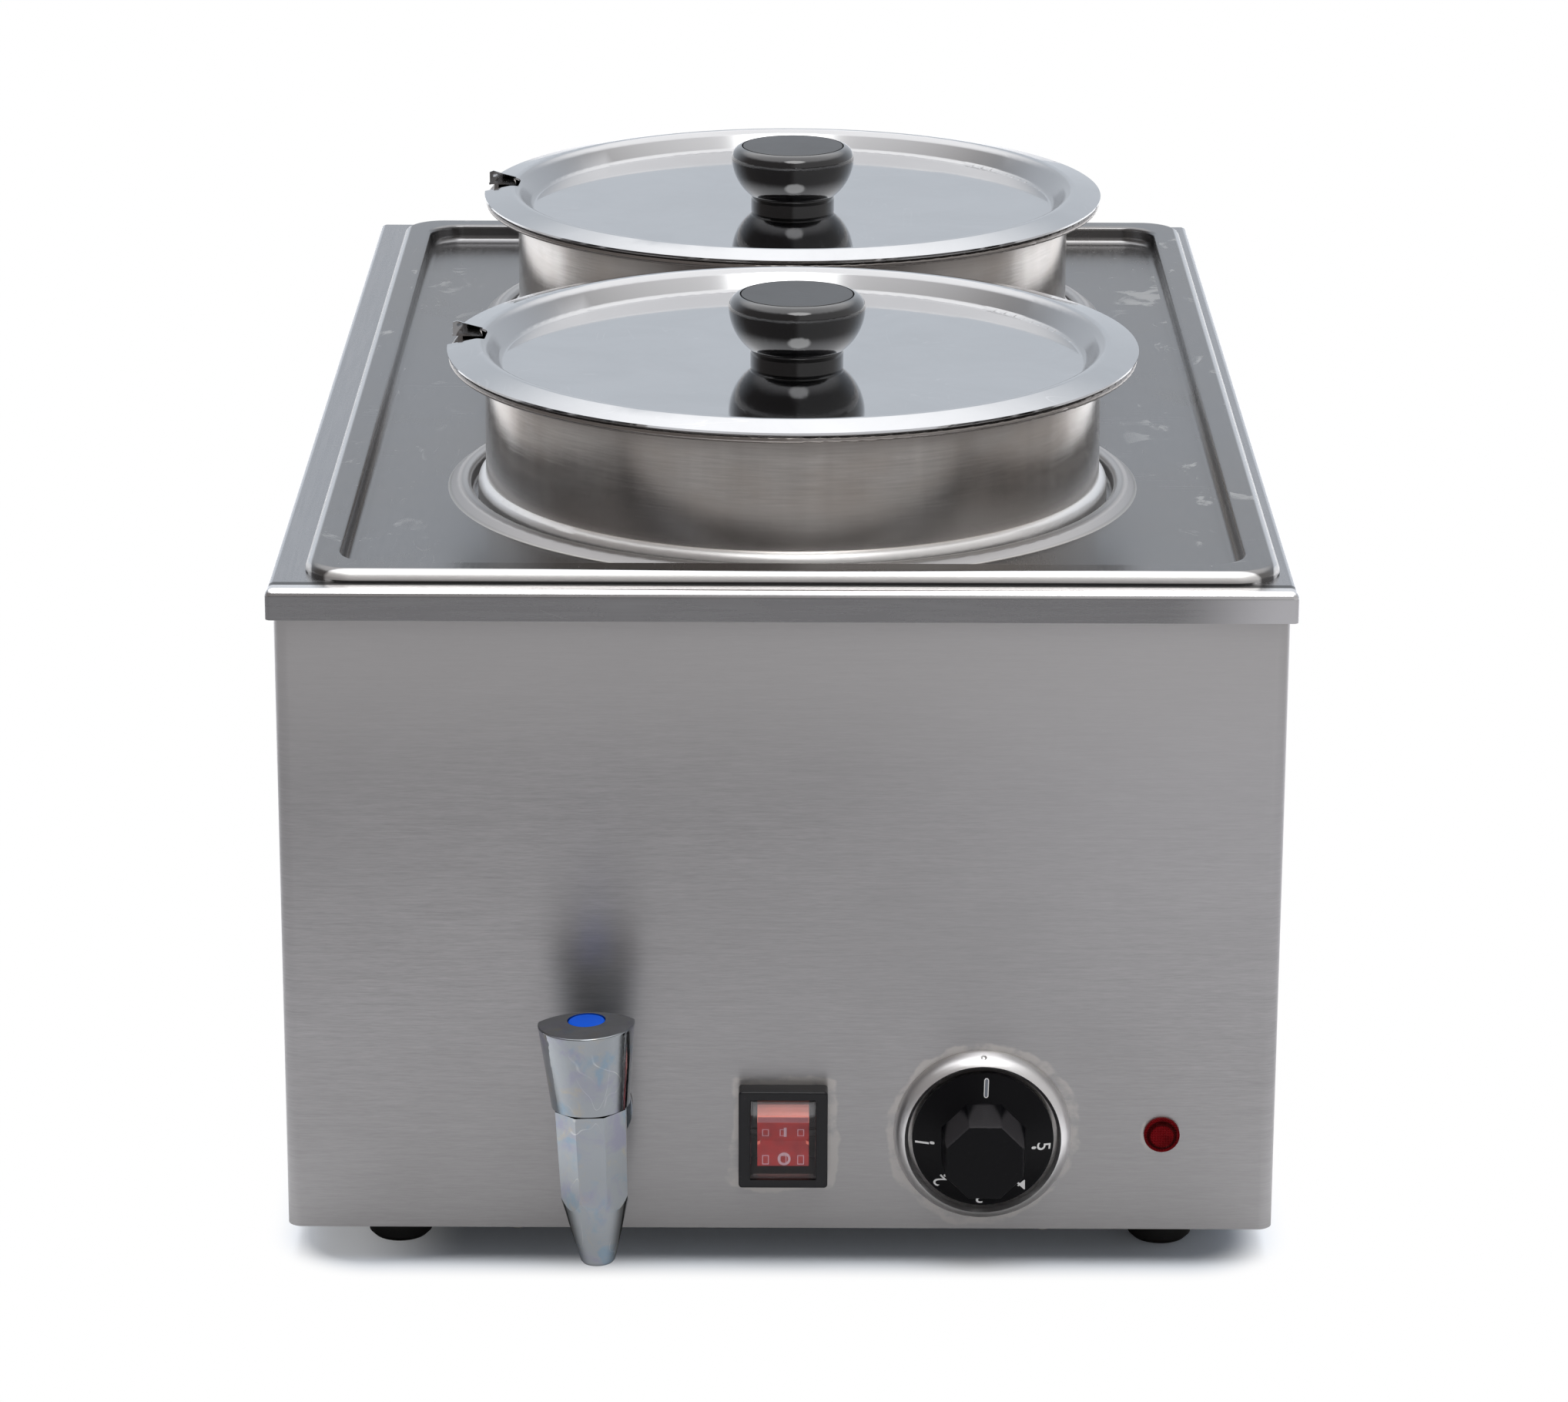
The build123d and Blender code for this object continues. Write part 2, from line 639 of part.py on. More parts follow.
def make_switch():
    frame_front = front - switch_frame_out
    half_w, half_h = switch_window[0] / 2, switch_window[1] / 2
    window = block(switch_x - half_w, switch_x + half_w, frame_front - 1, front + 14,
                   control_z - half_h, control_z + half_h)
    flange = Pos(switch_x, front, control_z) * Rot(90, 0, 0) * extrude(
        RectangleRounded(*switch_frame, 1.2), switch_frame_out)
    flange = fillet(flange.edges().filter_by_position(Axis.Y, frame_front - 0.01, frame_front + 0.01), 0.7)
    body = block(switch_x - switch_body[0] / 2, switch_x + switch_body[0] / 2,
                 front, front + switch_body_depth,
                 control_z - switch_body[1] / 2, control_z + switch_body[1] / 2)
    pivot_y = front + rocker_pivot_depth
    axle = Pos(switch_x, pivot_y, control_z) * Rot(0, 90, 0) * Cylinder(1.2, switch_window[0] + 1)
    save("switch_housing", flange + body - window + axle)

    # The rocker is drawn level, then turned so that its upper end stands out: switched off.
    outline = Polyline((-rocker_reach, -rocker_face_half), (-rocker_reach + rocker_dip, 0),
                       (-rocker_reach, rocker_face_half), (-1.0, rocker_half_height),
                       (4.0, 4.0), (4.0, -4.0), (-1.0, -rocker_half_height),
                       (-rocker_reach, -rocker_face_half))
    face = Plane.YZ * make_face(outline)
    rocker = Pos(-rocker_width / 2, 0, 0) * extrude(face, rocker_width, dir=(1, 0, 0))
    rocker -= Rot(0, 90, 0) * Cylinder(1.25, rocker_width + 2)
    for side in (-1, 1):
        rocker -= Pos(side * rocker_width / 2, -rocker_reach, 0) * Rot(90, 0, 0) * Cylinder(rocker_waist, 8)
    save("switch_rocker", Pos(switch_x, pivot_y, control_z) * Rot(rocker_tilt, 0, 0) * rocker)

    cover_front = front - cover_reach
    cover_back = frame_front + 2.5
    outer = hood(cover_size[0] / 2, cover_size[1] / 2, cover_front, frame_front, cover_back)
    round_edges = outer.edges().filter_by_position(Axis.Y, cover_front - 0.01, cover_front + 0.01)
    outer = fillet(round_edges, 0.8)
    inner = hood(cover_size[0] / 2 - cover_wall, cover_size[1] / 2 - cover_wall, cover_front + cover_wall,
                 frame_front + cover_wall, cover_back + 1)
    save("switch_cover", outer - inner)

    blades = []
    for sx in (-1, 1):
        for dz in (-9.0, 0.0, 9.0):
            x = switch_x + sx * 7
            blade_start = front + switch_body_depth
            blades.append(block(x - 0.4, x + 0.4, blade_start, blade_start + blade_depth,
                                control_z + dz - 3.1, control_z + dz + 3.1))
    save("switch_terminals", Compound(blades))


def octagon(flats, z):
    return Pos(0, 0, z) * Rot(0, 0, 22.5) * RegularPolygon(flats / 2, 8, major_radius=False)


def facing_front(y):
    return Plane(origin=(knob_x, y, control_z), x_dir=(1, 0, 0), z_dir=(0, -1, 0))


def make_thermostat():
    # The ring slopes back from its crest to a low foot, with one dimple at the top of the slope.
    crest = bezel_inner + 0.24 * bezel_width
    slope_middle = (bezel_inner + 0.74 * bezel_width, bezel_foot + 0.58 * (bezel_height - bezel_foot))
    inner_rise = bezel_height - 1.4
    ring = Polyline((crest, bezel_height), (bezel_inner, inner_rise), (bezel_inner, 0), (bezel_outer, 0),
                    (bezel_outer, bezel_foot))
    ring += ThreePointArc((bezel_outer, bezel_foot), slope_middle, (crest, bezel_height))
    bezel = Pos(knob_x, front, control_z) * Rot(90, 0, 0) * spun(make_face(ring))
    dimple_place = Pos(knob_x, front - slope_middle[1] - 0.4, control_z + slope_middle[0] + 0.6)
    save("knob_bezel", bezel - dimple_place * Sphere(bezel_dimple))

    rim_back = front - dial_gap
    rim_front = rim_back - dial_rim
    cone_front = rim_front - dial_cone
    grip_end = cone_front - grip_length
    plate = extrude(facing_front(rim_back) * Circle(dial_radius), dial_rim)
    cone = loft([facing_front(rim_front) * Circle(dial_radius),
                 facing_front(cone_front) * Circle(grip_base / 2)])
    grip = loft([facing_front(cone_front + 1.5) * octagon(grip_base, 0),
                 facing_front(grip_end) * octagon(grip_front, 0)])
    front_edges = grip.edges().filter_by_position(Axis.Y, grip_end - 0.01, grip_end + 0.01)
    grip = fillet(front_edges, 0.7)
    knob = plate + cone + grip - lying(shaft_radius, knob_x, control_z, grip_end + 5, rim_back + 1)
    save("thermostat_knob", knob)

    body_front = inner_front
    body_back = body_front + thermostat_depth
    body_top = control_z + thermostat_above
    body = block(knob_x - thermostat_half_width, knob_x + thermostat_half_width, body_front, body_back,
                 control_z - thermostat_below, body_top)
    body -= lying(shaft_radius + thread_gap, knob_x, control_z, body_front - 1, body_back - 5)
    for sx in (-1, 1):
        body -= lying(thermostat_screw_radius + thread_gap, knob_x + sx * thermostat_screw_side, control_z,
                      body_front - 1, body_front + 8)
    save("thermostat_body", body)
    save("thermostat_shaft", lying(shaft_radius, knob_x, control_z, grip_end + 5.5, body_back - 5.5))
    screws = []
    for sx in (-1, 1):
        x = knob_x + sx * thermostat_screw_side
        screw = lying(panel_screw_head, x, control_z, front - 2.0, front)
        screw += lying(thermostat_screw_radius, x, control_z, front - 1, body_front + 7)
        slot = block(x - 2.4, x + 2.4, front - 2.1, front - 1.1, control_z - 0.5, control_z + 0.5)
        screws.append(screw - slot)
    save("thermostat_screws", Compound(screws))

    bulb_z = well_underside - bulb_radius - touch_gap
    bulb = Pos(bulb_length / 2, bulb_y, bulb_z) * Rot(0, 90, 0) * Cylinder(bulb_radius, bulb_length)
    save("thermostat_bulb", bulb)
    wall = 0.8
    strap_top = well_underside
    strap_low = bulb_z - bulb_radius - wall
    strap_x0, strap_x1 = 30.0, 50.0
    ear = 9.0
    bulb_sides = (bulb_y - bulb_radius, bulb_y + bulb_radius)
    strap = block(strap_x0, strap_x1, bulb_sides[0] - wall, bulb_sides[1] + wall, strap_low, strap_top)
    strap -= block(strap_x0 - 1, strap_x1 + 1, *bulb_sides, strap_low + wall, strap_top + 1)
    for ear_y in (bulb_sides[1], bulb_sides[0] - ear):
        strap += block(strap_x0, strap_x1, ear_y, ear_y + ear, strap_top - wall, strap_top)
    save("bulb_clip", strap)
    loop_x = knob_x + 45
    drop_y = body_front + thermostat_depth / 2
    route = [(bulb_length, bulb_y, bulb_z), (loop_x, bulb_y, bulb_z), (loop_x, drop_y, bulb_z),
             (knob_x, drop_y, bulb_z), (knob_x, drop_y, body_top)]
    save("capillary_tube", tube(route, [14, 14, 6], capillary_radius))


def make_lamp():
    lens = lying(lamp_flange_radius, lamp_x, control_z, front - 1.3, front)
    dome = lying(lamp_lens_radius, lamp_x, control_z, front - 2.6, front - 1)
    dome = fillet(dome.edges().filter_by_position(Axis.Y, front - 2.61, front - 2.59), 1.2)
    save("lamp_lens", lens + dome)
    body_back = front + lamp_body_depth
    body = lying(lamp_body_radius, lamp_x, control_z, front, body_back)
    for dz in (-2.2, 2.2):
        body += block(lamp_x - 1.4, lamp_x + 1.4, body_back - 1, body_back + 7,
                      control_z + dz - 0.4, control_z + dz + 0.4)
    save("lamp_body", body)
    ring = lying(7.5, lamp_x, control_z, inner_front, inner_front + 2)
    ring -= lying(lamp_body_radius + thread_gap, lamp_x, control_z, inner_front - 1, inner_front + 3)
    save("lamp_clip", ring)


def tap_place(shape):
    return Pos(tap_x, tap_y, tap_z) * Rot(0, tap_lean, 0) * shape


def make_tap():
    barrel = loft([octagon(barrel_flats_low, nozzle_end), octagon(barrel_flats, barrel_top)])
    cone_radius = barrel_flats / 2 + 1.6
    outline = Polyline((0, nozzle_end), (nozzle_radius - 0.6, nozzle_end), (nozzle_radius, nozzle_end + 0.8),
                       (barrel_flats_low / 2, cone_start - 1), (cone_radius, cone_start + 9),
                       (cone_radius, barrel_top), (0, barrel_top), (0, nozzle_end))
    body = barrel & spun(make_face(outline))
    flange_back = tap_offset - gasket_thickness
    body += lying(9.0, 0, 0, 0, flange_back - 3)
    body += lying(shank_flange_radius, 0, 0, flange_back - 4, flange_back)
    body += lying(shank_radius, 0, 0, flange_back - 1, tap_offset + shank_inside)
    body -= lying(shank_bore, 0, 0, 0, tap_offset + shank_inside + 1)
    body -= upright(nozzle_bore, 0, 0, nozzle_end - 1, 0)
    spindle_foot = 2.0
    body -= upright(4.0 + thread_gap, 0, 0, -spindle_foot, barrel_top + 1)
    save("tap_body", tap_place(body))

    base = Pos(0, 0, handle_bottom) * Circle(handle_base_radius)
    mid_z = handle_bottom + 0.55 * (handle_top - handle_bottom)
    shares = ((mid_z, 0.55), (handle_top, 1.0))
    sections = [base]
    for z, share in shares:
        half = handle_base_radius + share * (handle_half_width - handle_base_radius)
        ahead = handle_base_radius + share * (handle_front - handle_base_radius)
        behind = handle_base_radius + share * (handle_back - handle_base_radius)
        outline = ThreePointArc((-half, 0), (0, -ahead), (half, 0))
        outline += ThreePointArc((half, 0), (0, behind), (-half, 0))
        sections.append(Pos(0, 0, z) * make_face(outline))
    handle = loft(sections, ruled=True)
    handle = fillet(edges_at(handle, handle_top), handle_edge_round)
    handle -= upright(4.0, 0, 0, handle_bottom - 1, handle_bottom + 14)
    handle -= upright(button_radius, 0, 0, handle_top - 1.5, handle_top + 1)
    save("tap_handle", tap_place(handle))
    button = upright(button_radius - 0.1, 0, 0, handle_top - 1.5, handle_top - 0.1)
    save("tap_button", tap_place(fillet(edges_at(button, handle_top - 0.1), 0.9)))
    save("tap_spindle", tap_place(upright(4.0 - 0.02, 0, 0, 0.5, handle_bottom + 13.5)))

    gasket = lying(shank_flange_radius, 0, 0, flange_back, tap_offset)
    thread_hole = shank_radius + thread_gap
    save("tap_gasket", tap_place(gasket - lying(thread_hole, 0, 0, flange_back - 1, tap_offset + 1)))
    lock_start = inner_front - tap_y
    save("tap_locknut", tap_place(lying_nut(nut_flats, thread_hole, 0, 0, lock_start, lock_start + 7)))


def make_drain():
    shank_end = front + shank_inside
    tail_bottom = well_underside - drain_tail
    route = [(tap_x, shank_end, tap_z), (tap_x, drain_y, tap_z), (tap_x, drain_y, tail_bottom)]
    save("drain_pipe", tube(route, [min(pipe_bend, tail_bottom - tap_z - 0.5)], pipe_radius, pipe_bore))
    spud = upright(drain_flange_radius, tap_x, drain_y, well_bottom, well_bottom + 1.6)
    spud = fillet(edges_at(spud, well_bottom + 1.6), 0.8)
    spud += upright(shank_radius, tap_x, drain_y, tail_bottom, well_bottom + 0.5)
    spud -= upright(pipe_bore, tap_x, drain_y, tail_bottom - 1, well_bottom + 2)
    save("drain_spud", spud)
    gasket_bottom = well_underside - gasket_thickness
    nut_bottom = gasket_bottom - 6
    thread_hole = shank_radius + thread_gap
    ring = upright(drain_flange_radius - 2, tap_x, drain_y, gasket_bottom, well_underside)
    save("drain_gasket", ring - upright(thread_hole, tap_x, drain_y, nut_bottom, well_bottom))
    save("drain_locknut", upright_nut(nut_flats, thread_hole, tap_x, drain_y, nut_bottom, gasket_bottom))


def make_heating():
    z = well_underside - element_radius - touch_gap
    a, b = element_half_span, element_inner_run
    inner_front_turn = element_front + 40
    route = [(-a, element_front, z), (-a, element_back, z), (-b, element_back, z), (-b, inner_front_turn, z),
             (b, inner_front_turn, z), (b, element_back, z), (a, element_back, z), (a, element_front, z)]
    element = tube(route, [element_bend] * 6, element_radius)
    for sx in (-1, 1):
        element += lying(2.0, sx * a, z, element_front - 18, element_front + 1)
    save("heating_element", element)

    shield_top = z - element_radius - touch_gap
    half_x, half_y = shield_size[0] / 2, shield_size[1] / 2
    middle = (element_front + element_back) / 2
    shield = block(-half_x, half_x, middle - half_y, middle + half_y, shield_top - 1.2, shield_top)
    bars = Compound([upright(stud_radius, x, y, shield_top - 8, well_underside) for x, y in studs])
    for x, y in studs:
        shield -= upright(stud_radius + 0.3, x, y, shield_top - 2, shield_top + 1)
    save("element_shield", shield)
    save("shield_studs", bars)
    nut_top = shield_top - 1.2
    nuts = [upright_nut(small_nut_flats, stud_radius + thread_gap, x, y, nut_top - small_nut_height, nut_top)
            for x, y in studs]
    save("shield_nuts", Compound(nuts))

    cutout_x, cutout_y = cutout_place
    cutout = upright(cutout_radius, cutout_x, cutout_y, well_underside - 9, well_underside)
    for sx in (-1, 1):
        blade_x = cutout_x + sx * 5
        cutout += block(blade_x - 3, blade_x + 3, cutout_y - 0.4, cutout_y + 0.4,
                        well_underside - 8 - blade_depth, well_underside - 8)
    save("thermal_cutout", cutout)


def make_rear_fittings():
    flange_end = rear + gland_hex
    hexed = lying_nut(gland_flats, gland_bore, gland_x, gland_z, rear, flange_end)
    cap_length = gland_reach - gland_hex
    shoulder = 0.6 * cap_length
    mouth = gland_bore + 2.1
    outline = Polyline((mouth, cap_length), (gland_bore, cap_length), (gland_bore, 0),
                       (gland_dome_radius, 0), (gland_dome_radius, shoulder))
    outline += ThreePointArc((gland_dome_radius, shoulder), (gland_dome_radius - 1.4, 0.84 * cap_length),
                             (mouth, cap_length))
    dome = Pos(gland_x, flange_end, gland_z) * Rot(-90, 0, 0) * spun(make_face(outline))
    thread = lying(gland_radius, gland_x, gland_z, inner_rear - 9, rear + 1)
    bore = lying(gland_bore, gland_x, gland_z, inner_rear - 10, rear + gland_reach + 1)
    save("cable_gland", hexed + dome + thread - bore)
    thread_hole = gland_radius + thread_gap
    save("gland_nut", lying_nut(gland_flats, thread_hole, gland_x, gland_z, inner_rear - 6, inner_rear))

    block_x, block_y = terminal_place
    half_w, half_d = terminal_half
    top = casing_bottom + terminal_height
    terminal = block(block_x - half_w, block_x + half_w, block_y - half_d, block_y + half_d,
                     casing_bottom, casing_bottom + 8)
    for i in (-1, 0, 1):
        x = block_x + i * terminal_pitch
        terminal += block(x - 7.5, x + 7.5, block_y - half_d, block_y + half_d, casing_bottom + 7, top)
        for dy in (-5, 5):
            terminal -= upright(2.4, x, block_y + dy, top - 6, top + 1)
    save("terminal_block", terminal)

    earth_x, earth_y = earth_place
    nut_bottom = casing_bottom + 2
    save("earth_stud", upright(stud_radius, earth_x, earth_y, casing_bottom, casing_bottom + 18))
    save("earth_nut", upright_nut(small_nut_flats, stud_radius + thread_gap, earth_x, earth_y,
                                  nut_bottom, nut_bottom + small_nut_height))


def make_wires():
    # Two wires from the terminal block to the switch, along the floor of the casing.
    block_x, block_y = terminal_place
    start_y = block_y - terminal_half[1]
    start_z = casing_bottom + 12
    blade_end = front + switch_body_depth + blade_depth
    blade_z = control_z - blade_depth
    wires = []
    for i, sx in enumerate((-1, 1)):
        start_x = block_x + (i - 1) * terminal_pitch
        lane = 16 * i - 20.0
        turn_y = 150.0 - 12 * i
        blade_x = switch_x + sx * 7
        route = [(start_x, start_y, start_z), (start_x, turn_y, start_z), (lane, turn_y, start_z),
                 (lane, -215.0, start_z + 3 * i - 3), (blade_x, blade_end + 10, blade_z),
                 (blade_x, blade_end, blade_z)]
        wires.append(tube(route, [8, 8, 10, 4], wire_radius))
    save("wires", Compound(wires))


make_casing()
make_rear_panel()
make_base()
make_feet()
make_panel_screws()
make_well()
make_cover_plate()
for place, place_y in hole_ys.items():
    make_pot(place, place_y)
    make_lid(place, place_y)
    make_lid_knob(place, place_y)
make_switch()
make_thermostat()
make_lamp()
make_tap()
make_drain()
make_heating()
make_rear_fittings()
make_wires()
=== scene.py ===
import bpy
import json
from math import cos, hypot, pi, radians, sin
from mathutils import Matrix, Vector


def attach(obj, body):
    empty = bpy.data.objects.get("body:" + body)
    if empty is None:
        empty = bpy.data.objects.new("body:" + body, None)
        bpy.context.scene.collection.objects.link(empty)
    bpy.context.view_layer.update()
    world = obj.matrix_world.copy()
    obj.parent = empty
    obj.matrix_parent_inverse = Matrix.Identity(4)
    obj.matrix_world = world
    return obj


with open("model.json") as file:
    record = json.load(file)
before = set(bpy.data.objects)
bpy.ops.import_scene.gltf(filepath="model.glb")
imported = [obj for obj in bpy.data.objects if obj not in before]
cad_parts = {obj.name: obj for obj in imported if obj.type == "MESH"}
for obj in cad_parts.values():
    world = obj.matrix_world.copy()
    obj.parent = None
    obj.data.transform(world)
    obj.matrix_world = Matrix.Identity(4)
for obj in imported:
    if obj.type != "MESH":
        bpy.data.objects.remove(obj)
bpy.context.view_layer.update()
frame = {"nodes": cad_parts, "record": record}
print("frame loaded:", len(frame["nodes"]), "nodes")

mm = 0.001
casingShift = 13.65  # the casing's middle lies this far behind the origin, in mm
# places in mm: x and y as seen from above, then x and z as seen from the front
holeCentres = ((3.5, -112.35), (3.5, 139.65))
plateMiddle = (3.5, casingShift)
controls = {"switch": (1.0, 50.0), "dial": (68.8, 50.0), "lamp": (129.8, 50.0)}
world = bpy.data.worlds.new("studioWorld")
scene = bpy.context.scene
scene.world = world
scene.view_settings.view_transform = "Standard"


def addNode(tree, kind, inputs=None, **settings):
    made = tree.nodes.new(kind)
    for key, value in settings.items():
        setattr(made, key, value)
    for key, value in (inputs or {}).items():
        if isinstance(value, bpy.types.NodeSocket):
            tree.links.new(value, made.inputs[key])
        else:
            made.inputs[key].default_value = value
    return made


def calc(tree, operation, a, b=0.0, c=0.0):
    return addNode(tree, "ShaderNodeMath", {0: a, 1: b, 2: c}, operation=operation).outputs[0]


def ramp(tree, value, low, high, outLow=0.0, outHigh=1.0, smooth=True):
    kind = "SMOOTHSTEP" if smooth else "LINEAR"
    made = addNode(tree, "ShaderNodeMapRange", {"Value": value, "From Min": low, "From Max": high,
                                                "To Min": outLow, "To Max": outHigh},
                   interpolation_type=kind)
    return made.outputs["Result"]


def blendColors(tree, share, first, second):
    made = addNode(tree, "ShaderNodeMix", data_type="RGBA")
    for key, value in ((0, share), (6, first), (7, second)):
        if isinstance(value, bpy.types.NodeSocket):
            tree.links.new(value, made.inputs[key])
        else:
            made.inputs[key].default_value = value if key == 0 else (*value[:3], 1.0)
    return made.outputs[2]


def blendNumbers(tree, share, first, second):
    kept = calc(tree, "MULTIPLY", first, calc(tree, "SUBTRACT", 1.0, share))
    return calc(tree, "ADD", kept, calc(tree, "MULTIPLY", share, second))


def gap(tree, value, middle):
    # how far a value lies from another, either way
    return calc(tree, "ABSOLUTE", calc(tree, "SUBTRACT", value, middle))


def diagonal(tree, a, b):
    return calc(tree, "SQRT", calc(tree, "MULTIPLY_ADD", a, a, calc(tree, "MULTIPLY", b, b)))


def within(tree, value, low, high, soft):
    # 1 between two values and 0 outside them, with soft ends
    return calc(tree, "MULTIPLY", ramp(tree, value, low - soft, low + soft),
                ramp(tree, value, high - soft, high + soft, 1.0, 0.0))


def objectPoint(tree):
    return addNode(tree, "ShaderNodeTexCoord").outputs["Object"]


def pointParts(tree):
    return addNode(tree, "ShaderNodeSeparateXYZ", {0: objectPoint(tree)}).outputs


def axisOf(tree, axis):
    return pointParts(tree)[axis]


def normalOf(tree, axis):
    normal = addNode(tree, "ShaderNodeNewGeometry").outputs["Normal"]
    return addNode(tree, "ShaderNodeSeparateXYZ", {0: normal}).outputs[axis]


def facing(tree, axis):
    # how much a surface faces along one axis, from 0 to 1
    return calc(tree, "ABSOLUTE", normalOf(tree, axis))


def distanceTo(tree, place, axes=(0, 2)):
    # distance in metres from a place given in mm, seen along the third axis
    point = pointParts(tree)
    return diagonal(tree, calc(tree, "SUBTRACT", point[axes[0]], place[0] * mm),
                    calc(tree, "SUBTRACT", point[axes[1]], place[1] * mm))


def boxDistance(tree, place, half):
    # distance in metres from an upright box on the casing's front
    point = pointParts(tree)
    out = []
    for axis, middle, reach in ((0, place[0], half[0]), (2, place[1], half[1])):
        off = gap(tree, point[axis], middle * mm)
        out.append(calc(tree, "MAXIMUM", calc(tree, "SUBTRACT", off, reach * mm), 0.0))
    return diagonal(tree, *out)


def noise(tree, scale, detail=2.0, seed=0.0, roughness=0.55, distortion=0.0):
    # noise on the piece's own place in metres; scale is one number or one for each axis
    scales = scale if isinstance(scale, tuple) else (scale, scale, scale)
    placed = addNode(tree, "ShaderNodeMapping", {"Vector": objectPoint(tree), "Scale": scales,
                                                 "Location": (seed, seed * 1.7, seed * 0.6)})
    made = addNode(tree, "ShaderNodeTexNoise", {"Vector": placed.outputs[0], "Scale": 1.0, "Detail": detail,
                                                "Roughness": roughness, "Distortion": distortion})
    return made.outputs[0]


def scratches(tree, scale, seed, width=0.008, amount=0.6):
    # thin lines where a stretched noise crosses one value, kept only in some places
    crossing = gap(tree, noise(tree, scale, 1.0, seed, 0.4, 0.7), 0.5)
    line = ramp(tree, crossing, 0.0, width, 1.0, 0.0)
    kept = ramp(tree, noise(tree, 31.0, 3.0, seed + 4.0), amount, amount + 0.12)
    return calc(tree, "MULTIPLY", line, kept)


def newMaterial(name):
    made = bpy.data.materials.new(name)
    made.use_nodes = True
    tree = made.node_tree
    return made, tree, tree.nodes["Principled BSDF"]


def setSockets(shader, values):
    for key, value in values.items():
        if isinstance(value, bpy.types.NodeSocket):
            shader.id_data.links.new(value, shader.inputs[key])
        elif isinstance(value, tuple) and len(value) == 3 and shader.inputs[key].type == "RGBA":
            shader.inputs[key].default_value = (*value, 1.0)
        else:
            shader.inputs[key].default_value = value


def addBump(tree, shader, height, distance):
    made = addNode(tree, "ShaderNodeBump", {"Height": height, "Distance": distance, "Strength": 1.0})
    tree.links.new(made.outputs[0], shader.inputs["Normal"])


# zones: each of these makes a function that tells how far a point lies in its zone, from 0 to 1
def rises(axis, start, end):
    # none before the first place along the axis and all from the second on, in mm
    return lambda tree: ramp(tree, axisOf(tree, axis), start * mm, end * mm)


def falls(axis, start, end):
    # all before the first place along the axis and none from the second on, in mm
    return lambda tree: ramp(tree, axisOf(tree, axis), start * mm, end * mm, 1.0, 0.0)


def between(axis, low, high, soft):
    return lambda tree: within(tree, axisOf(tree, axis), low * mm, high * mm, soft * mm)


def bends(low, high):
    # where a sheet turns from level to upright, between two shares of facing up
    return lambda tree: within(tree, facing(tree, 2), low, high, 0.03)


def allOf(*zones):
    # where all of several zones are
    def where(tree):
        share = zones[0](tree)
        for zone in zones[1:]:
            share = calc(tree, "MULTIPLY", share, zone(tree))
        return share
    return where


def holeRing(low, high, soft=0.4):
    # a ring round each of the plate's holes, between two radii in mm
    def where(tree):
        rings = [within(tree, distanceTo(tree, place, (0, 1)), low * mm, high * mm, soft * mm)
                 for place in holeCentres]
        return calc(tree, "MAXIMUM", *rings)
    return where


def plateEdge(startX, startY, width):
    # outside a rectangle round the plate's middle, from its half sizes in mm
    def where(tree):
        offX = gap(tree, axisOf(tree, 0), plateMiddle[0] * mm)
        offY = gap(tree, axisOf(tree, 1), plateMiddle[1] * mm)
        return calc(tree, "MAXIMUM", ramp(tree, offX, startX * mm, (startX + width) * mm),
                    ramp(tree, offY, startY * mm, (startY + width) * mm))
    return where


def ledgeStrip(start, end):
    # a strip across the top of the ledge's front, between two places along y
    return allOf(between(1, end, start, 0.3), rises(2, 241.8, 242.2))


wash = {"patches": (120.0, 120.0, 170.0), "shake": 12.0, "softness": 1.2, "front": (-255.5, -254.5)}


def washMarks(*places):
    # pale residue that cleaning leaves round what stands on the casing's front
    def where(tree):
        total = 0.0
        patchy = ramp(tree, noise(tree, wash["patches"], 4.0, 11.0), 0.34, 0.54, 0.10, 1.0)
        shake = calc(tree, "SUBTRACT", noise(tree, 60.0, 3.0, 3.0), 0.5)
        for place, half, width in places:
            far = calc(tree, "MULTIPLY_ADD", shake, wash["shake"] * mm, boxDistance(tree, place, half))
            near = ramp(tree, far, (width - wash["softness"]) * mm, width * mm, 1.0, 0.0)
            total = calc(tree, "MAXIMUM", total, calc(tree, "MULTIPLY", near, patchy))
        return calc(tree, "MULTIPLY", total, falls(1, *wash["front"])(tree))
    return where


def wornPatches(tree):
    # rubbed pale by lids and ladles, mostly in the corners of the recess
    rubbed = ramp(tree, noise(tree, (50.0, 34.0, 50.0), 4.0, 17.0, 0.6, 1.2), 0.59, 0.68)
    cornerX = ramp(tree, calc(tree, "ABSOLUTE", axisOf(tree, 0)), 0.115, 0.145)
    level = ramp(tree, facing(tree, 2), 0.96, 0.99)
    return calc(tree, "MULTIPLY", level, calc(tree, "MULTIPLY", rubbed, cornerX))


def gripTop(tree):
    # painted light: the upper slopes of the dial's grip are painted paler, where light from above falls on
    # them
    up = ramp(tree, normalOf(tree, 2), 0.25, 0.45)
    near = ramp(tree, distanceTo(tree, controls["dial"]), 14.2 * mm, 14.8 * mm, 1.0, 0.0)
    return calc(tree, "MULTIPLY", up, near)


def turnedDown(tree):
    return ramp(tree, facing(tree, 2), 0.60, 0.85, 1.0, 0.0)


# painted highlight: the well's rolled edges are painted paler and glossier than its flat faces
rolledEdge = bends(0.22, 0.95)
# painted highlight: the plate's rolled rim is painted paler and made glossier than the flat plate
plateRim = plateEdge(159.5, 262.0, 1.0)
# painted highlight: the rim's turned-down side is painted near white
plateHem = allOf(plateRim, turnedDown)
# painted shadow: the dark line under the plate's rolled edge, where the rim shades the ledge
plateRimShadow = allOf(plateEdge(160.8, 263.3, 0.8), falls(2, 243.0, 243.3))
# the right end of the skirt's front, which catches the light
skirtEnd = allOf(rises(0, 125.0, 168.0), falls(1, -256.0, -255.0), falls(2, 240.0, 241.5))
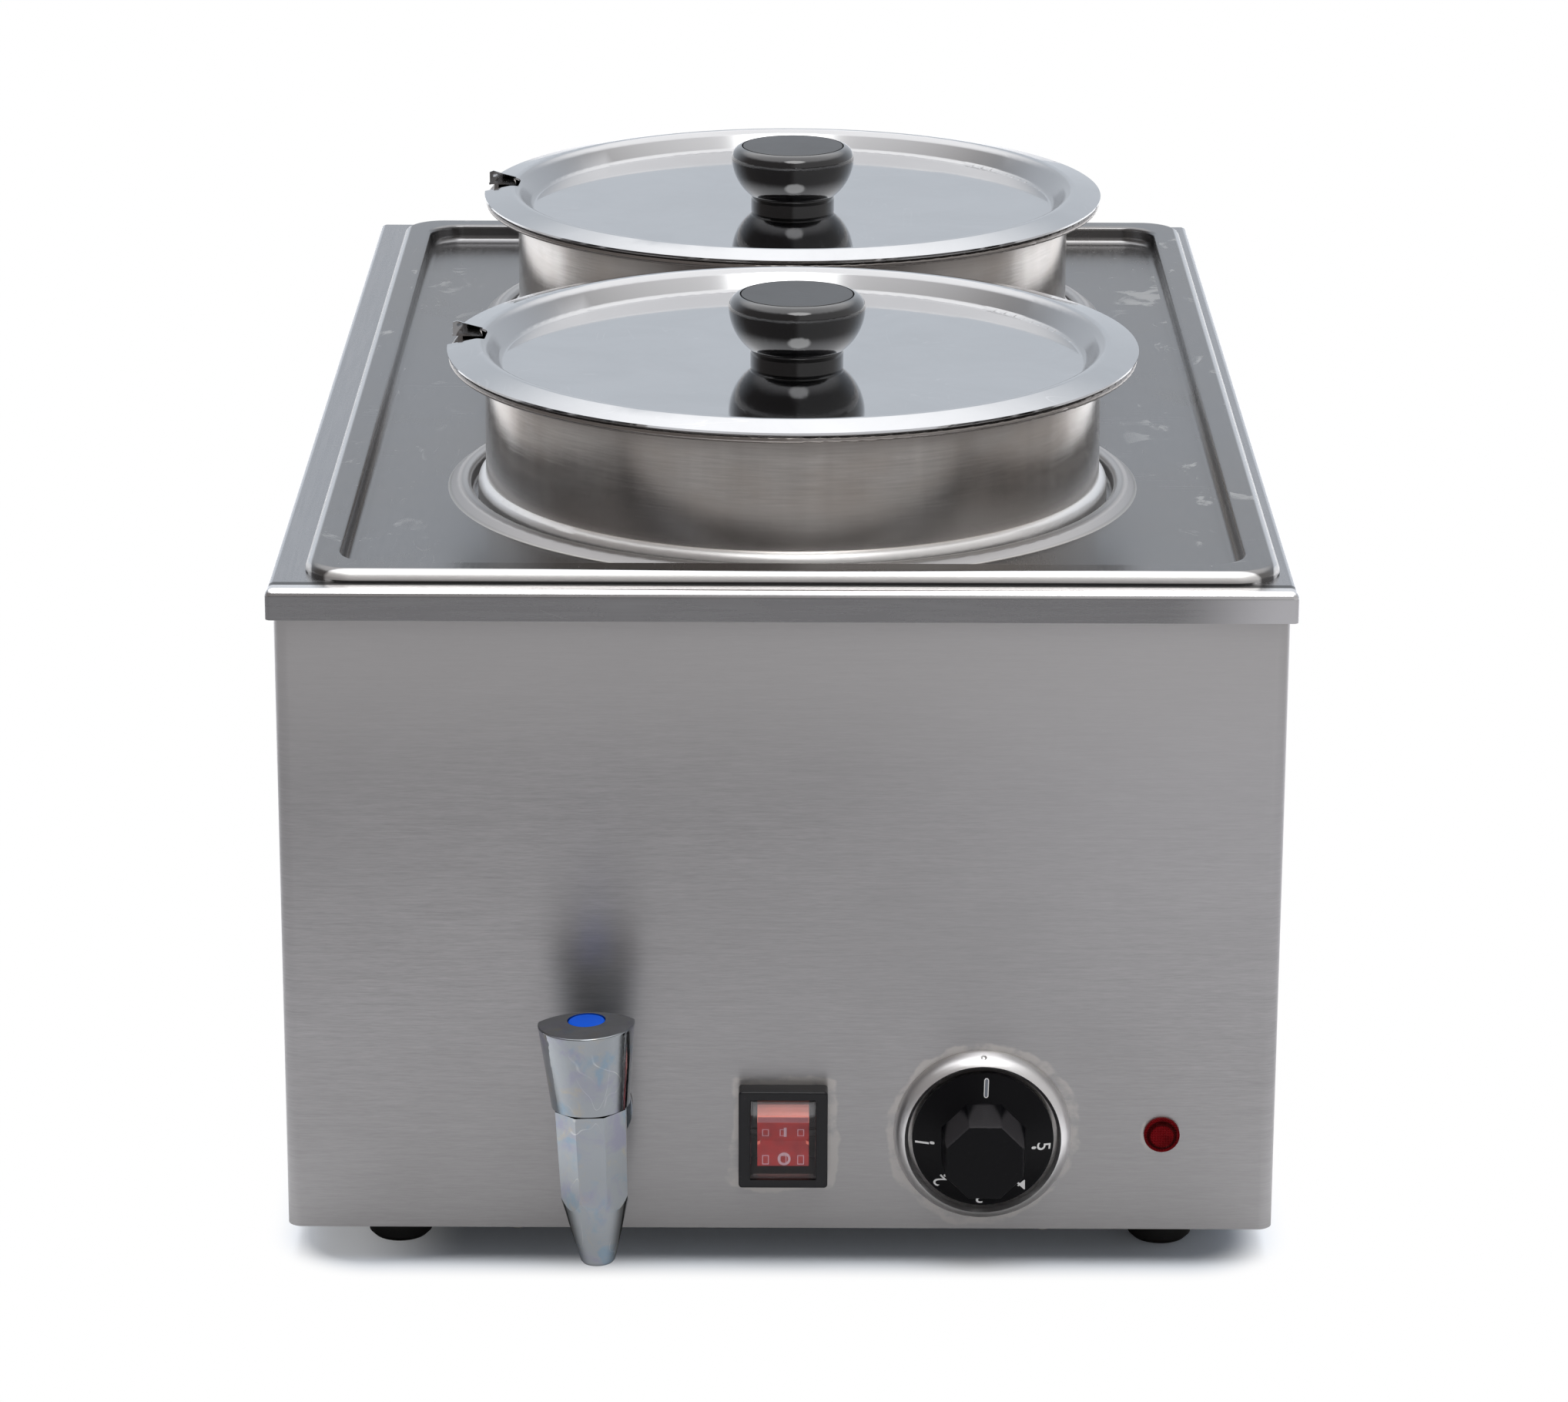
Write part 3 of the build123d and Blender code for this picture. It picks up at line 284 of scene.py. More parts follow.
# painted light: the casing's front is painted palest towards the upper right, as if lit from the right
paintedLightUpperRight = allOf(rises(0, -30.0, 160.0), rises(2, 70.0, 200.0))
controlMarks = washMarks((controls["switch"], (15.0, 17.5), 3.6), (controls["dial"], (0.0, 0.0), 33.6),
                         (controls["lamp"], (0.0, 0.0), 7.6))


def addZones(tree, look, color, rough):
    # rolled edges, worn rings, dirt, and painted light and shade, each with its own finish
    for zone in look.get("zones", []):
        share = calc(tree, "MULTIPLY", zone["where"](tree), zone["share"])
        color = blendColors(tree, share, color, zone["color"])
        rough = blendNumbers(tree, share, rough, zone["roughness"])
    return color, rough


# stainless steel
def brushedSteel(name, look):
    made, tree, shader = newMaterial(name)
    fine = noise(tree, look["strokes"], 4.0, 0.0, 0.6)
    broad = noise(tree, look["bands"], 3.0, 5.0)
    grain = calc(tree, "MULTIPLY_ADD", broad, 0.4, calc(tree, "MULTIPLY", fine, 0.6))
    if "topStrokes" in look:  # the grain of faces that look up differs from that of the walls
        top = noise(tree, look["topStrokes"], 4.0, 9.0)
        grain = blendNumbers(tree, ramp(tree, facing(tree, 2), 0.6, 0.8), grain, top)
    light = tuple(min(1.0, c * (1 + look["contrast"])) for c in look["color"])
    dark = tuple(c * (1 - look["contrast"]) for c in look["color"])
    color = blendColors(tree, ramp(tree, grain, 0.32, 0.68, smooth=False), dark, light)
    clouds = ramp(tree, noise(tree, look.get("clouds", 9.0), 4.0, 2.0, 0.6), 0.35, 0.7)
    clouded = calc(tree, "MULTIPLY", clouds, look.get("cloudShare", 0.25))
    color = blendColors(tree, clouded, color, look.get("cloudColor", dark))
    smears = ramp(tree, noise(tree, (16.0, 16.0, 34.0), 5.0, 7.0, 0.65, 0.8), 0.5, 0.75)
    rough = calc(tree, "MULTIPLY_ADD", grain, 0.12, look["roughness"] - 0.06)
    rough = calc(tree, "MULTIPLY_ADD", smears, 0.06, rough)
    if "scratched" in look:
        lines = calc(tree, "MAXIMUM", scratches(tree, (14.0, 110.0, 30.0), 21.0),
                     scratches(tree, (95.0, 17.0, 30.0), 33.0))
        shown = calc(tree, "MULTIPLY", lines, look["scratched"])
        color = blendColors(tree, shown, color, (0.72, 0.71, 0.70))
        rough = calc(tree, "MULTIPLY_ADD", lines, 0.10, rough)
    color, rough = addZones(tree, look, color, rough)
    setSockets(shader, {"Base Color": color, "Metallic": 1.0, "Roughness": rough,
                        "Anisotropic": look.get("anisotropic", 0.0)})
    if look.get("lay") == "turned":
        spin = addNode(tree, "ShaderNodeTangent", direction_type="RADIAL", axis="Z").outputs[0]
        setSockets(shader, {"Tangent": spin, "Anisotropic Rotation": 0.25})
    elif "lay" in look:
        lay = addNode(tree, "ShaderNodeCombineXYZ", dict(enumerate(look["lay"])))
        setSockets(shader, {"Tangent": lay.outputs[0]})
    height = grain
    if "dents" in look:  # the wall isn't quite round, so what it mirrors wavers
        dents = noise(tree, look["dents"], 2.0, 15.0, 0.4)
        height = calc(tree, "MULTIPLY_ADD", dents, look["dentDepth"], grain)
    addBump(tree, shader, height, look["bump"])
    return made


def polishedSteel(name, look):
    # nearly a mirror, with faint wipe marks and a few hair scratches
    made, tree, shader = newMaterial(name)
    haze = noise(tree, 22.0, 5.0, 1.0, 0.6, 0.6)
    wipes = noise(tree, (60.0, 900.0, 60.0), 2.0, 4.0, 0.5, 0.4)
    hair = calc(tree, "MAXIMUM", scratches(tree, (22.0, 80.0, 40.0), 8.0, 0.006, 0.52),
                scratches(tree, (90.0, 12.0, 40.0), 12.0, 0.006, 0.55))
    dull = tuple(c * 0.93 for c in look["color"])
    color = blendColors(tree, ramp(tree, haze, 0.3, 0.75), look["color"], dull)
    color = blendColors(tree, calc(tree, "MULTIPLY", hair, look["hair"]), color, (0.80, 0.80, 0.80))
    rough = calc(tree, "MULTIPLY_ADD", ramp(tree, haze, 0.35, 0.8), 0.05, look["roughness"])
    rough = calc(tree, "MULTIPLY_ADD", hair, 0.10, rough)
    color, rough = addZones(tree, look, color, rough)
    for i, (tint, low) in enumerate(look.get("stains", [])):  # dried water and heat leave faint tints
        patch = ramp(tree, noise(tree, 75.0 + 20.0 * i, 4.0, 30.0 + 9.0 * i, 0.6, 0.5), low, low + 0.18)
        color = blendColors(tree, calc(tree, "MULTIPLY", patch, 0.6), color, tint)
    setSockets(shader, {"Base Color": color, "Metallic": 1.0, "Roughness": rough})
    addBump(tree, shader, calc(tree, "MULTIPLY_ADD", hair, -0.6, wipes), look["bump"])
    return made


# plastics, rubber and the rest
def mouldedPlastic(name, look):
    made, tree, shader = newMaterial(name)
    base = look["color"]
    if "where" in look:
        base = blendColors(tree, look["where"](tree), base, look["whereColor"])
    cast = noise(tree, look.get("grain", 900.0), 3.0, 1.0)
    dust = ramp(tree, noise(tree, 260.0, 6.0, 6.0, 0.7), 0.62, 0.8)
    worn = noise(tree, 35.0, 4.0, 3.0, 0.6)
    dusty = calc(tree, "MULTIPLY", dust, look.get("dust", 0.10))
    color = blendColors(tree, dusty, base, (0.30, 0.30, 0.31))
    rough = calc(tree, "MULTIPLY_ADD", worn, look.get("roughSpread", 0.12), look["roughness"] - 0.06)
    rough = calc(tree, "MULTIPLY_ADD", dust, 0.10, rough)
    setSockets(shader, {"Base Color": color, "Roughness": rough, "IOR": look.get("ior", 1.45),
                        "Coat Weight": look.get("coat", 0.0), "Coat Roughness": 0.04})
    addBump(tree, shader, cast, look.get("bump", 0.000012))
    return made


def litRed(name, look):
    # a clear red moulding with some light behind it
    made, tree, shader = newMaterial(name)
    cells = noise(tree, 240.0, 3.0, 2.0)
    color = blendColors(tree, ramp(tree, cells, 0.3, 0.7), look["color"], look["deep"])
    if "ring" in look:  # a dark ring round the middle
        low, high = look["ring"]
        dark = within(tree, distanceTo(tree, controls["lamp"]), low * mm, high * mm, 0.3 * mm)
        color = blendColors(tree, calc(tree, "MULTIPLY", dark, 0.8), color, (0.012, 0.001, 0.001))
    if "topColor" in look:  # light from above goes through the end that looks up
        streaky = noise(tree, (60.0, 400.0, 400.0), 3.0, 6.0)
        dimmer = tuple(c * 0.8 for c in look["topColor"])
        top = blendColors(tree, ramp(tree, streaky, 0.35, 0.65), look["topColor"], dimmer)
        color = blendColors(tree, ramp(tree, facing(tree, 2), 0.55, 0.75), color, top)
    setSockets(shader, {"Base Color": color, "Roughness": look["roughness"], "Emission Color": color,
                        "Emission Strength": look["glow"], "IOR": look["ior"],
                        "Coat Weight": look["coat"], "Coat Roughness": 0.05})
    if "cut" in look:  # crossed cuts of a lamp lens
        point = pointParts(tree)
        waves = [calc(tree, "SINE", calc(tree, "MULTIPLY", point[axis], look["cut"])) for axis in (0, 2)]
        addBump(tree, shader, calc(tree, "MAXIMUM", *waves), 0.0002)
    else:
        addBump(tree, shader, cells, 0.00001)
    return made


def clearPlastic(name, look):
    made, tree, shader = newMaterial(name)
    haze = noise(tree, 150.0, 4.0, 2.0)
    # painted sheen: faces that don't look to the front are more opaque, so the hood's edges show pale
    alpha = ramp(tree, facing(tree, 1), 0.40, 0.66, look["edgeAlpha"], look["alpha"])
    setSockets(shader, {"Base Color": look["color"], "Roughness": ramp(tree, haze, 0.3, 0.8, 0.02, 0.14),
                        "Transmission Weight": look["clear"], "IOR": 1.2, "Alpha": alpha,
                        "Coat Weight": 1.0, "Coat Roughness": 0.03})
    return made


def metalPart(name, look):
    made, tree, shader = newMaterial(name)
    stain = noise(tree, 70.0, 5.0, 2.0, 0.65)
    lines = noise(tree, 900.0, 2.0, 4.0)
    color = blendColors(tree, ramp(tree, stain, 0.35, 0.75), look["color"], look["stain"])
    rough = calc(tree, "MULTIPLY_ADD", stain, 0.14, look["roughness"] - 0.05)
    setSockets(shader, {"Base Color": color, "Metallic": 1.0, "Roughness": rough})
    addBump(tree, shader, lines, 0.000008)
    return made


casingSteel = {
    "color": (0.425, 0.418, 0.425), "contrast": 0.15, "roughness": 0.33, "anisotropic": 0.75,
    "lay": (0.0, 0.0, 1.0), "strokes": (200.0, 200.0, 3300.0), "bands": (40.0, 40.0, 900.0),
    "bump": 0.000012, "clouds": (5.0, 5.0, 7.0), "cloudShare": 0.5, "cloudColor": (0.365, 0.36, 0.365),
    "zones": [
        {"where": paintedLightUpperRight, "share": 0.5, "color": (0.70, 0.695, 0.715), "roughness": 0.33},
        {"where": controlMarks, "share": 0.85, "color": (0.60, 0.575, 0.55), "roughness": 0.40},
        # painted shade: the front is darker towards the bottom, where it mirrors the shadowed floor
        {"where": falls(2, 20.0, 110.0), "share": 0.5, "color": (0.34, 0.335, 0.335), "roughness": 0.34},
        # painted light: the front is paler towards the top
        {"where": rises(2, 160.0, 226.0), "share": 0.6, "color": (0.63, 0.62, 0.62), "roughness": 0.36}]}
wellSteel = {
    "color": (0.36, 0.36, 0.37), "contrast": 0.05, "roughness": 0.27, "anisotropic": 0.5,
    "lay": (0.0, 0.0, 1.0), "strokes": (40.0, 40.0, 1500.0), "bands": (20.0, 20.0, 500.0),
    "topStrokes": (900.0, 25.0, 1.0), "bump": 0.000003, "scratched": 0.15,
    "zones": [
        {"where": rolledEdge, "share": 0.85, "color": (0.74, 0.74, 0.75), "roughness": 0.16},
        # painted shadow: the back of the ledge's top strip, right below the plate's rim, is black
        {"where": ledgeStrip(-251.2, -254.6), "share": 0.9, "color": (0.03, 0.03, 0.03), "roughness": 0.3},
        # painted highlight: the front of that strip, up to the edge, is near white
        {"where": ledgeStrip(-254.6, -261.2), "share": 0.9, "color": (0.97, 0.95, 0.94), "roughness": 0.22},
        {"where": skirtEnd, "share": 0.8, "color": (0.92, 0.92, 0.95), "roughness": 0.34}]}
# painted shade: the plate's base colour is darker than the lids', for the light that the pots and lids keep
# off the recess
plateSteel = {
    "color": (0.215, 0.214, 0.218), "contrast": 0.05, "roughness": 0.24, "strokes": (700.0, 700.0, 60.0),
    "bands": (90.0, 90.0, 20.0), "topStrokes": (900.0, 90.0, 1.0), "bump": 0.000002, "cloudShare": 0.35,
    "cloudColor": (0.22, 0.205, 0.19), "scratched": 0.22,
    "zones": [
        {"where": wornPatches, "share": 0.55, "color": (0.60, 0.59, 0.57), "roughness": 0.4},
        {"where": holeRing(113.0, 117.0, 0.8), "share": 0.8, "color": (0.50, 0.495, 0.495), "roughness": 0.4},
        {"where": holeRing(117.2, 121.2, 0.5), "share": 0.95, "color": (0.52, 0.51, 0.51), "roughness": 0.48},
        {"where": holeRing(121.2, 122.0, 0.3), "share": 0.6, "color": (0.62, 0.60, 0.57), "roughness": 0.42},
        {"where": plateRim, "share": 0.95, "color": (0.76, 0.755, 0.76), "roughness": 0.17},
        {"where": plateHem, "share": 0.95, "color": (0.97, 0.96, 0.95), "roughness": 0.50},
        {"where": plateRimShadow, "share": 0.9, "color": (0.03, 0.03, 0.03), "roughness": 0.5}]}
potSteel = {
    "color": (0.62, 0.595, 0.57), "contrast": 0.17, "roughness": 0.20, "anisotropic": 0.35, "lay": "turned",
    "strokes": (60.0, 60.0, 1500.0), "bands": (160.0, 160.0, 12.0), "bump": 0.000008,
    "dents": (22.0, 22.0, 30.0), "dentDepth": 26.0, "cloudColor": (0.52, 0.46, 0.41),
    "cloudShare": 0.5, "clouds": (30.0, 30.0, 45.0),
    "zones": [
        # painted reflection: the lower wall is paler, as if it mirrored the bright ring and collar
        {"where": falls(2, 246.0, 266.0), "share": 0.7, "color": (0.80, 0.765, 0.735), "roughness": 0.27},
        # painted shade: the wall is darker near the top
        {"where": rises(2, 276.0, 285.0), "share": 0.8, "color": (0.32, 0.295, 0.28), "roughness": 0.22},
        # painted highlight: the shoulder ring round the hole is painted white
        {"where": allOf(holeRing(108.7, 112.5), falls(2, 244.8, 245.4)), "share": 0.95,
         "color": (0.97, 0.96, 0.95), "roughness": 0.42}]}
steelLooks = {"casing_steel": casingSteel, "well_steel": wellSteel, "plate_steel": plateSteel,
              "pot_steel": potSteel}
polishedLooks = {
    "lid_steel": {"color": (0.62, 0.625, 0.635), "roughness": 0.045, "bump": 0.000002, "hair": 0.30,
                  # painted shade: the lid's sloped wall round the panel is darker and rougher, to dull its
                  # bright reflection
                  "zones": [{"where": allOf(bends(0.30, 0.965), holeRing(100.5, 110.5)), "share": 0.9,
                             "color": (0.48, 0.48, 0.485), "roughness": 0.18}]},
    "bezel_chrome": {"color": (0.93, 0.92, 0.92), "roughness": 0.34, "bump": 0.000006, "hair": 0.7},
    "tap_chrome": {"color": (0.36, 0.385, 0.405), "roughness": 0.05, "bump": 0.000004, "hair": 0.5,
                   "stains": [((0.30, 0.29, 0.40), 0.50), ((0.22, 0.34, 0.45), 0.52),
                              ((0.44, 0.40, 0.32), 0.56)]},
}
metalLooks = {
    "zinc_steel": {"color": (0.50, 0.51, 0.52), "stain": (0.36, 0.37, 0.37), "roughness": 0.42},
    "screw_steel": {"color": (0.62, 0.62, 0.62), "stain": (0.45, 0.44, 0.42), "roughness": 0.28},
    "element_steel": {"color": (0.30, 0.27, 0.25), "stain": (0.16, 0.15, 0.17), "roughness": 0.45},
    "drain_brass": {"color": (0.66, 0.52, 0.26), "stain": (0.45, 0.33, 0.16), "roughness": 0.35},
    "terminal_brass": {"color": (0.72, 0.60, 0.32), "stain": (0.52, 0.42, 0.22), "roughness": 0.3},
    "capillary_copper": {"color": (0.70, 0.38, 0.24), "stain": (0.42, 0.21, 0.13), "roughness": 0.34},
}
plasticLooks = {
    "knob_bakelite": {"color": (0.004, 0.004, 0.005), "roughness": 0.06, "coat": 1.0, "ior": 1.5,
                      "bump": 0.0000015, "roughSpread": 0.05},
    "knob_disc_satin": {"color": (0.018, 0.019, 0.021), "roughness": 0.36, "bump": 0.00002},
    "switch_black": {"color": (0.009, 0.009, 0.011), "roughness": 0.3, "ior": 1.38},
    "dial_black": {"color": (0.0035, 0.0035, 0.0045), "roughness": 0.34, "bump": 0.00004, "grain": 1500.0,
                   "ior": 1.22, "dust": 0.04, "where": gripTop, "whereColor": (0.040, 0.038, 0.041)},
    "foot_rubber": {"color": (0.012, 0.012, 0.012), "roughness": 0.6, "bump": 0.00005},
    "wire_brown": {"color": (0.16, 0.07, 0.03), "roughness": 0.5},
    "thermostat_plastic": {"color": (0.07, 0.06, 0.055), "roughness": 0.5},
    "terminal_white": {"color": (0.72, 0.70, 0.64), "roughness": 0.42, "dust": 0.05},
    "button_blue": {"color": (0.001, 0.085, 0.62), "roughness": 0.2, "ior": 1.18, "dust": 0.0},
}
redLooks = {
    "rocker_red": {"color": (0.33, 0.022, 0.022), "deep": (0.22, 0.015, 0.017), "topColor": (1.0, 0.30, 0.23),
                   "roughness": 0.35, "glow": 0.30, "coat": 0.1, "ior": 1.35},
    "lamp_red": {"color": (0.13, 0.002, 0.004), "deep": (0.08, 0.001, 0.002), "roughness": 0.45,
                 "glow": 0.25, "cut": 7000.0, "coat": 0.0, "ior": 1.12, "ring": (3.9, 5.2)},
}
clearLooks = {"switch_clear": {"color": (0.80, 0.80, 0.82), "clear": 0.7, "alpha": 0.07, "edgeAlpha": 0.50}}
materials = {}
for make, looks in ((brushedSteel, steelLooks), (polishedSteel, polishedLooks), (metalPart, metalLooks),
                    (mouldedPlastic, plasticLooks), (litRed, redLooks), (clearPlastic, clearLooks)):
    for slot, look in looks.items():
        materials[slot] = make(slot, look)
whitePaint = mouldedPlastic("printedWhite", {"color": (0.80, 0.80, 0.80), "roughness": 0.45, "dust": 0.0})
greyPaint = mouldedPlastic("printedGrey", {"color": (0.16, 0.18, 0.21), "roughness": 0.5, "dust": 0.3})
pinkPaint = mouldedPlastic("printedPink", {"color": (0.72, 0.50, 0.56), "roughness": 0.4, "dust": 0.1,
                                           "ior": 1.3})
beadedPaint = mouldedPlastic("beadedPink", {"color": (0.42, 0.13, 0.15), "roughness": 0.35, "dust": 0.9,
                                            "grain": 2600.0, "bump": 0.0002})
print("materials made:", len(materials))

# every CAD node takes the finish of its slot
nodeSlot = {entry["node"]: entry["material_slot"] for entry in frame["record"]["subparts"]}
for name, piece in frame["nodes"].items():
    piece.data.materials.clear()
    piece.data.materials.append(materials[nodeSlot[name]])


# even shading on the CAD nodes
def smoothingTree(angle):
    tree = bpy.data.node_groups.new("evenShading", "GeometryNodeTree")
    tree.interface.new_socket("Geometry", in_out="INPUT", socket_type="NodeSocketGeometry")
    tree.interface.new_socket("Geometry", in_out="OUTPUT", socket_type="NodeSocketGeometry")
    start = tree.nodes.new("NodeGroupInput").outputs[0]
    merged = addNode(tree, "GeometryNodeMergeByDistance",
                     {"Geometry": start, "Distance": 0.000004}).outputs[0]
    rounded = addNode(tree, "GeometryNodeSetShadeSmooth", {"Geometry": merged, "Shade Smooth": True},
                      domain="FACE").outputs[0]
    bend = tree.nodes.new("GeometryNodeInputMeshEdgeAngle").outputs[0]
    sharp = addNode(tree, "FunctionNodeCompare", {0: bend, 1: angle}, operation="GREATER_THAN").outputs[0]
    creased = addNode(tree, "GeometryNodeSetShadeSmooth",
                      {"Geometry": rounded, "Selection": sharp, "Shade Smooth": False},
                      domain="EDGE").outputs[0]
    addNode(tree, "NodeGroupOutput", {0: creased})
    return tree


evenShading = smoothingTree(radians(28))
facetShading = smoothingTree(radians(9))
turnedShading = smoothingTree(radians(66))
shadingOf = {"tap_body": facetShading, "thermostat_knob": facetShading, "pot_front": turnedShading,
             "pot_rear": turnedShading, "lid_front": turnedShading, "lid_rear": turnedShading}
for name, piece in frame["nodes"].items():
    piece.modifiers.new("evenShading", "NODES").node_group = shadingOf.get(name, evenShading)
    weigh = piece.modifiers.new("flatFacesFirst", "WEIGHTED_NORMAL")
    weigh.keep_sharp = True
print("shading evened")


# marks on the dial
def plainMesh(name, verts, faces, material, body):
    mesh = bpy.data.meshes.new(name)
    mesh.from_pydata(verts, [], faces)
    mesh.validate()
    piece = bpy.data.objects.new(name, mesh)
    scene.collection.objects.link(piece)
    mesh.materials.append(material)
    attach(piece, body)
    return piece


def shapeOf(holder):
    # the finished mesh of a helper object, which is then removed
    evaluated = holder.evaluated_get(bpy.context.evaluated_depsgraph_get())
    mesh = bpy.data.meshes.new_from_object(evaluated)
    verts = [v.co.copy() for v in mesh.vertices]
    faces = [tuple(p.vertices) for p in mesh.polygons]
    bpy.data.objects.remove(holder)
    bpy.data.meshes.remove(mesh)
    return verts, faces


lettering = {"capitalShare": 0.7, "boldness": 0.025}
dialMarks = {"front": -272 + casingShift, "rimFront": -5.5, "coneFront": -9.5,
             "rimRadius": 24.0, "coneRadius": 14.3, "lift": 0.03,
             "figures": {"5": 95.0, "4": 139.0, "3": 182.5, "2": 225.5, "1": 268.5},
             "figureHeight": 4.7, "figureRadius": 20.7, "tickRadius": 17.3,
             "tickSize": (1.0, 1.6), "tickTurn": 1.0,
             "pointer": (16.4, 22.6, 1.6), "pointerLine": 0.3, "pointerAngle": 2.5}


def dialSurface(x, z, raised):
    # a point of the dial's cone, a little proud of it, from its place as seen from the front
    look = dialMarks
    far = hypot(x, z)
    share = (look["rimRadius"] - far) / (look["rimRadius"] - look["coneRadius"])
    depth = look["rimFront"] + (look["coneFront"] - look["rimFront"]) * min(1.0, max(0.0, share))
    middleX, middleZ = controls["dial"]
    return ((middleX + x) * mm, (look["front"] + depth - look["lift"] - raised) * mm, (middleZ + z) * mm)


def textShape(text, height):
    curve = bpy.data.curves.new("figure", "FONT")
    curve.body = text
    curve.size = height / lettering["capitalShare"]
    curve.align_x = "CENTER"
    curve.align_y = "CENTER"
    curve.offset = lettering["boldness"]
    holder = bpy.data.objects.new("figure", curve)
    scene.collection.objects.link(holder)
    verts, faces = shapeOf(holder)
    middle = Vector(((min(v.x for v in verts) + max(v.x for v in verts)) / 2,
                     (min(v.y for v in verts) + max(v.y for v in verts)) / 2, 0))
    return [v - middle for v in verts], faces


def roundBar(length, width, steps=8):
    # a flat bar with round ends along its height
    half = length / 2 - width / 2
    outline = []
    for side, start in ((half, 0.0), (-half, pi)):
        for i in range(steps + 1):
            turn = start + pi * i / steps
            outline.append(Vector((width / 2 * cos(turn), side + width / 2 * sin(turn), 0)))
    return outline, [tuple(range(len(outline)))]


def dialPatch(name, shape, angle, radius, paint=whitePaint, raised=0.0):
    # the shape's top points away from the dial's middle
    verts, faces = shape
    turn = radians(angle)
    placed = []
    for v in verts:
        along = radius + v.y
        x = along * sin(turn) + v.x * cos(turn)
        z = along * cos(turn) - v.x * sin(turn)
        placed.append(dialSurface(x, z, raised))
    return plainMesh(name, placed, faces, paint, "thermostat_dial")


tickWidth, tickLength = dialMarks["tickSize"]
for figure, angle in dialMarks["figures"].items():
    shape = textShape(figure, dialMarks["figureHeight"])
    dialPatch("dialFigure" + figure, shape, angle, dialMarks["figureRadius"])
    tickAngle = angle + dialMarks["tickTurn"]
    dialPatch("dialTick" + figure, roundBar(tickLength, tickWidth), tickAngle, dialMarks["tickRadius"])
inner, outer, width = dialMarks["pointer"]
line = dialMarks["pointerLine"]
slotShape = roundBar(outer - inner - 2 * line, width - 2 * line)
dialPatch("dialPointer", roundBar(outer - inner, width), dialMarks["pointerAngle"], (inner + outer) / 2)
dialPatch("dialPointerSlot", slotShape, dialMarks["pointerAngle"], (inner + outer) / 2, greyPaint, 0.03)
print("dial marked")


# marks on the rocker, which is drawn level and then leans as the CAD one does
rocker = {"pivot": (1.0, -257.35, 50.0), "tilt": 10.0, "reach": 8.1, "dip": 2.2, "faceHalf": 8.6,
          "endHalf": 11.4, "endReach": 1.0, "lift": 0.04,
          "squares": {"middle": (0.0, -1.3), "span": (11.95, 10.4), "size": (2.0, 2.9), "line": 0.36},
          "onBar": {"middle": (0.7, 4.1), "size": (0.95, 4.2)},
          "offRing": {"middle": (0.35, -6.2), "outer": 2.2, "line": 0.8},
          "strip": {"halfWidth": 8.6, "from": 8.62, "to": 9.45}}


def rockerSurface(x, v):
    # a point of the rocker's face, a little proud of it; v runs up the face
    look = rocker
    if abs(v) <= look["faceHalf"]:
        y = -look["reach"] + look["dip"] * (1 - abs(v) / look["faceHalf"])
    else:
        share = (abs(v) - look["faceHalf"]) / (look["endHalf"] - look["faceHalf"])
        y = -look["reach"] + share * (look["reach"] - look["endReach"])
    y -= look["lift"]
    lean = radians(look["tilt"])
    px, py, pz = look["pivot"]
    leantY = py + y * cos(lean) - v * sin(lean)
    leantZ = pz + y * sin(lean) + v * cos(lean)
    return ((px + x) * mm, leantY * mm, leantZ * mm)


def squareGridTree():
    # outlined squares on a grid of points
    tree = bpy.data.node_groups.new("squareGrid", "GeometryNodeTree")
    socketIds = {}
    for name in ("Span X", "Span Y", "Width", "Height", "Line"):
        made = tree.interface.new_socket(name, in_out="INPUT", socket_type="NodeSocketFloat")
        socketIds[name] = made.identifier
    for name in ("Columns", "Rows"):
        made = tree.interface.new_socket(name, in_out="INPUT", socket_type="NodeSocketInt")
        socketIds[name] = made.identifier
    made = tree.interface.new_socket("Finish", in_out="INPUT", socket_type="NodeSocketMaterial")
    socketIds["Finish"] = made.identifier
    tree.interface.new_socket("Geometry", in_out="OUTPUT", socket_type="NodeSocketGeometry")
    given = tree.nodes.new("NodeGroupInput").outputs
    points = addNode(tree, "GeometryNodeMeshGrid", {0: given["Span X"], 1: given["Span Y"],
                                                    2: given["Columns"], 3: given["Rows"]}).outputs[0]
    square = addNode(tree, "GeometryNodeCurvePrimitiveQuadrilateral",
                     {"Width": given["Width"], "Height": given["Height"]}).outputs[0]
    level = addNode(tree, "GeometryNodeSetCurveNormal", {0: square}, mode="Z_UP").outputs[0]
    halfLine = calc(tree, "MULTIPLY", given["Line"], 0.5)
    start = addNode(tree, "ShaderNodeCombineXYZ", {0: calc(tree, "MULTIPLY", halfLine, -1.0)}).outputs[0]
    end = addNode(tree, "ShaderNodeCombineXYZ", {0: halfLine}).outputs[0]
    profile = addNode(tree, "GeometryNodeCurvePrimitiveLine", {"Start": start, "End": end}).outputs[0]
    ribbon = addNode(tree, "GeometryNodeCurveToMesh", {0: level, 1: profile}).outputs[0]
    placed = addNode(tree, "GeometryNodeInstanceOnPoints",
                     {"Points": points, "Instance": ribbon}).outputs[0]
    real = addNode(tree, "GeometryNodeRealizeInstances", {0: placed}).outputs[0]
    painted = addNode(tree, "GeometryNodeSetMaterial",
                      {"Geometry": real, "Material": given["Finish"]}).outputs[0]
    addNode(tree, "NodeGroupOutput", {0: painted})
    return tree, socketIds


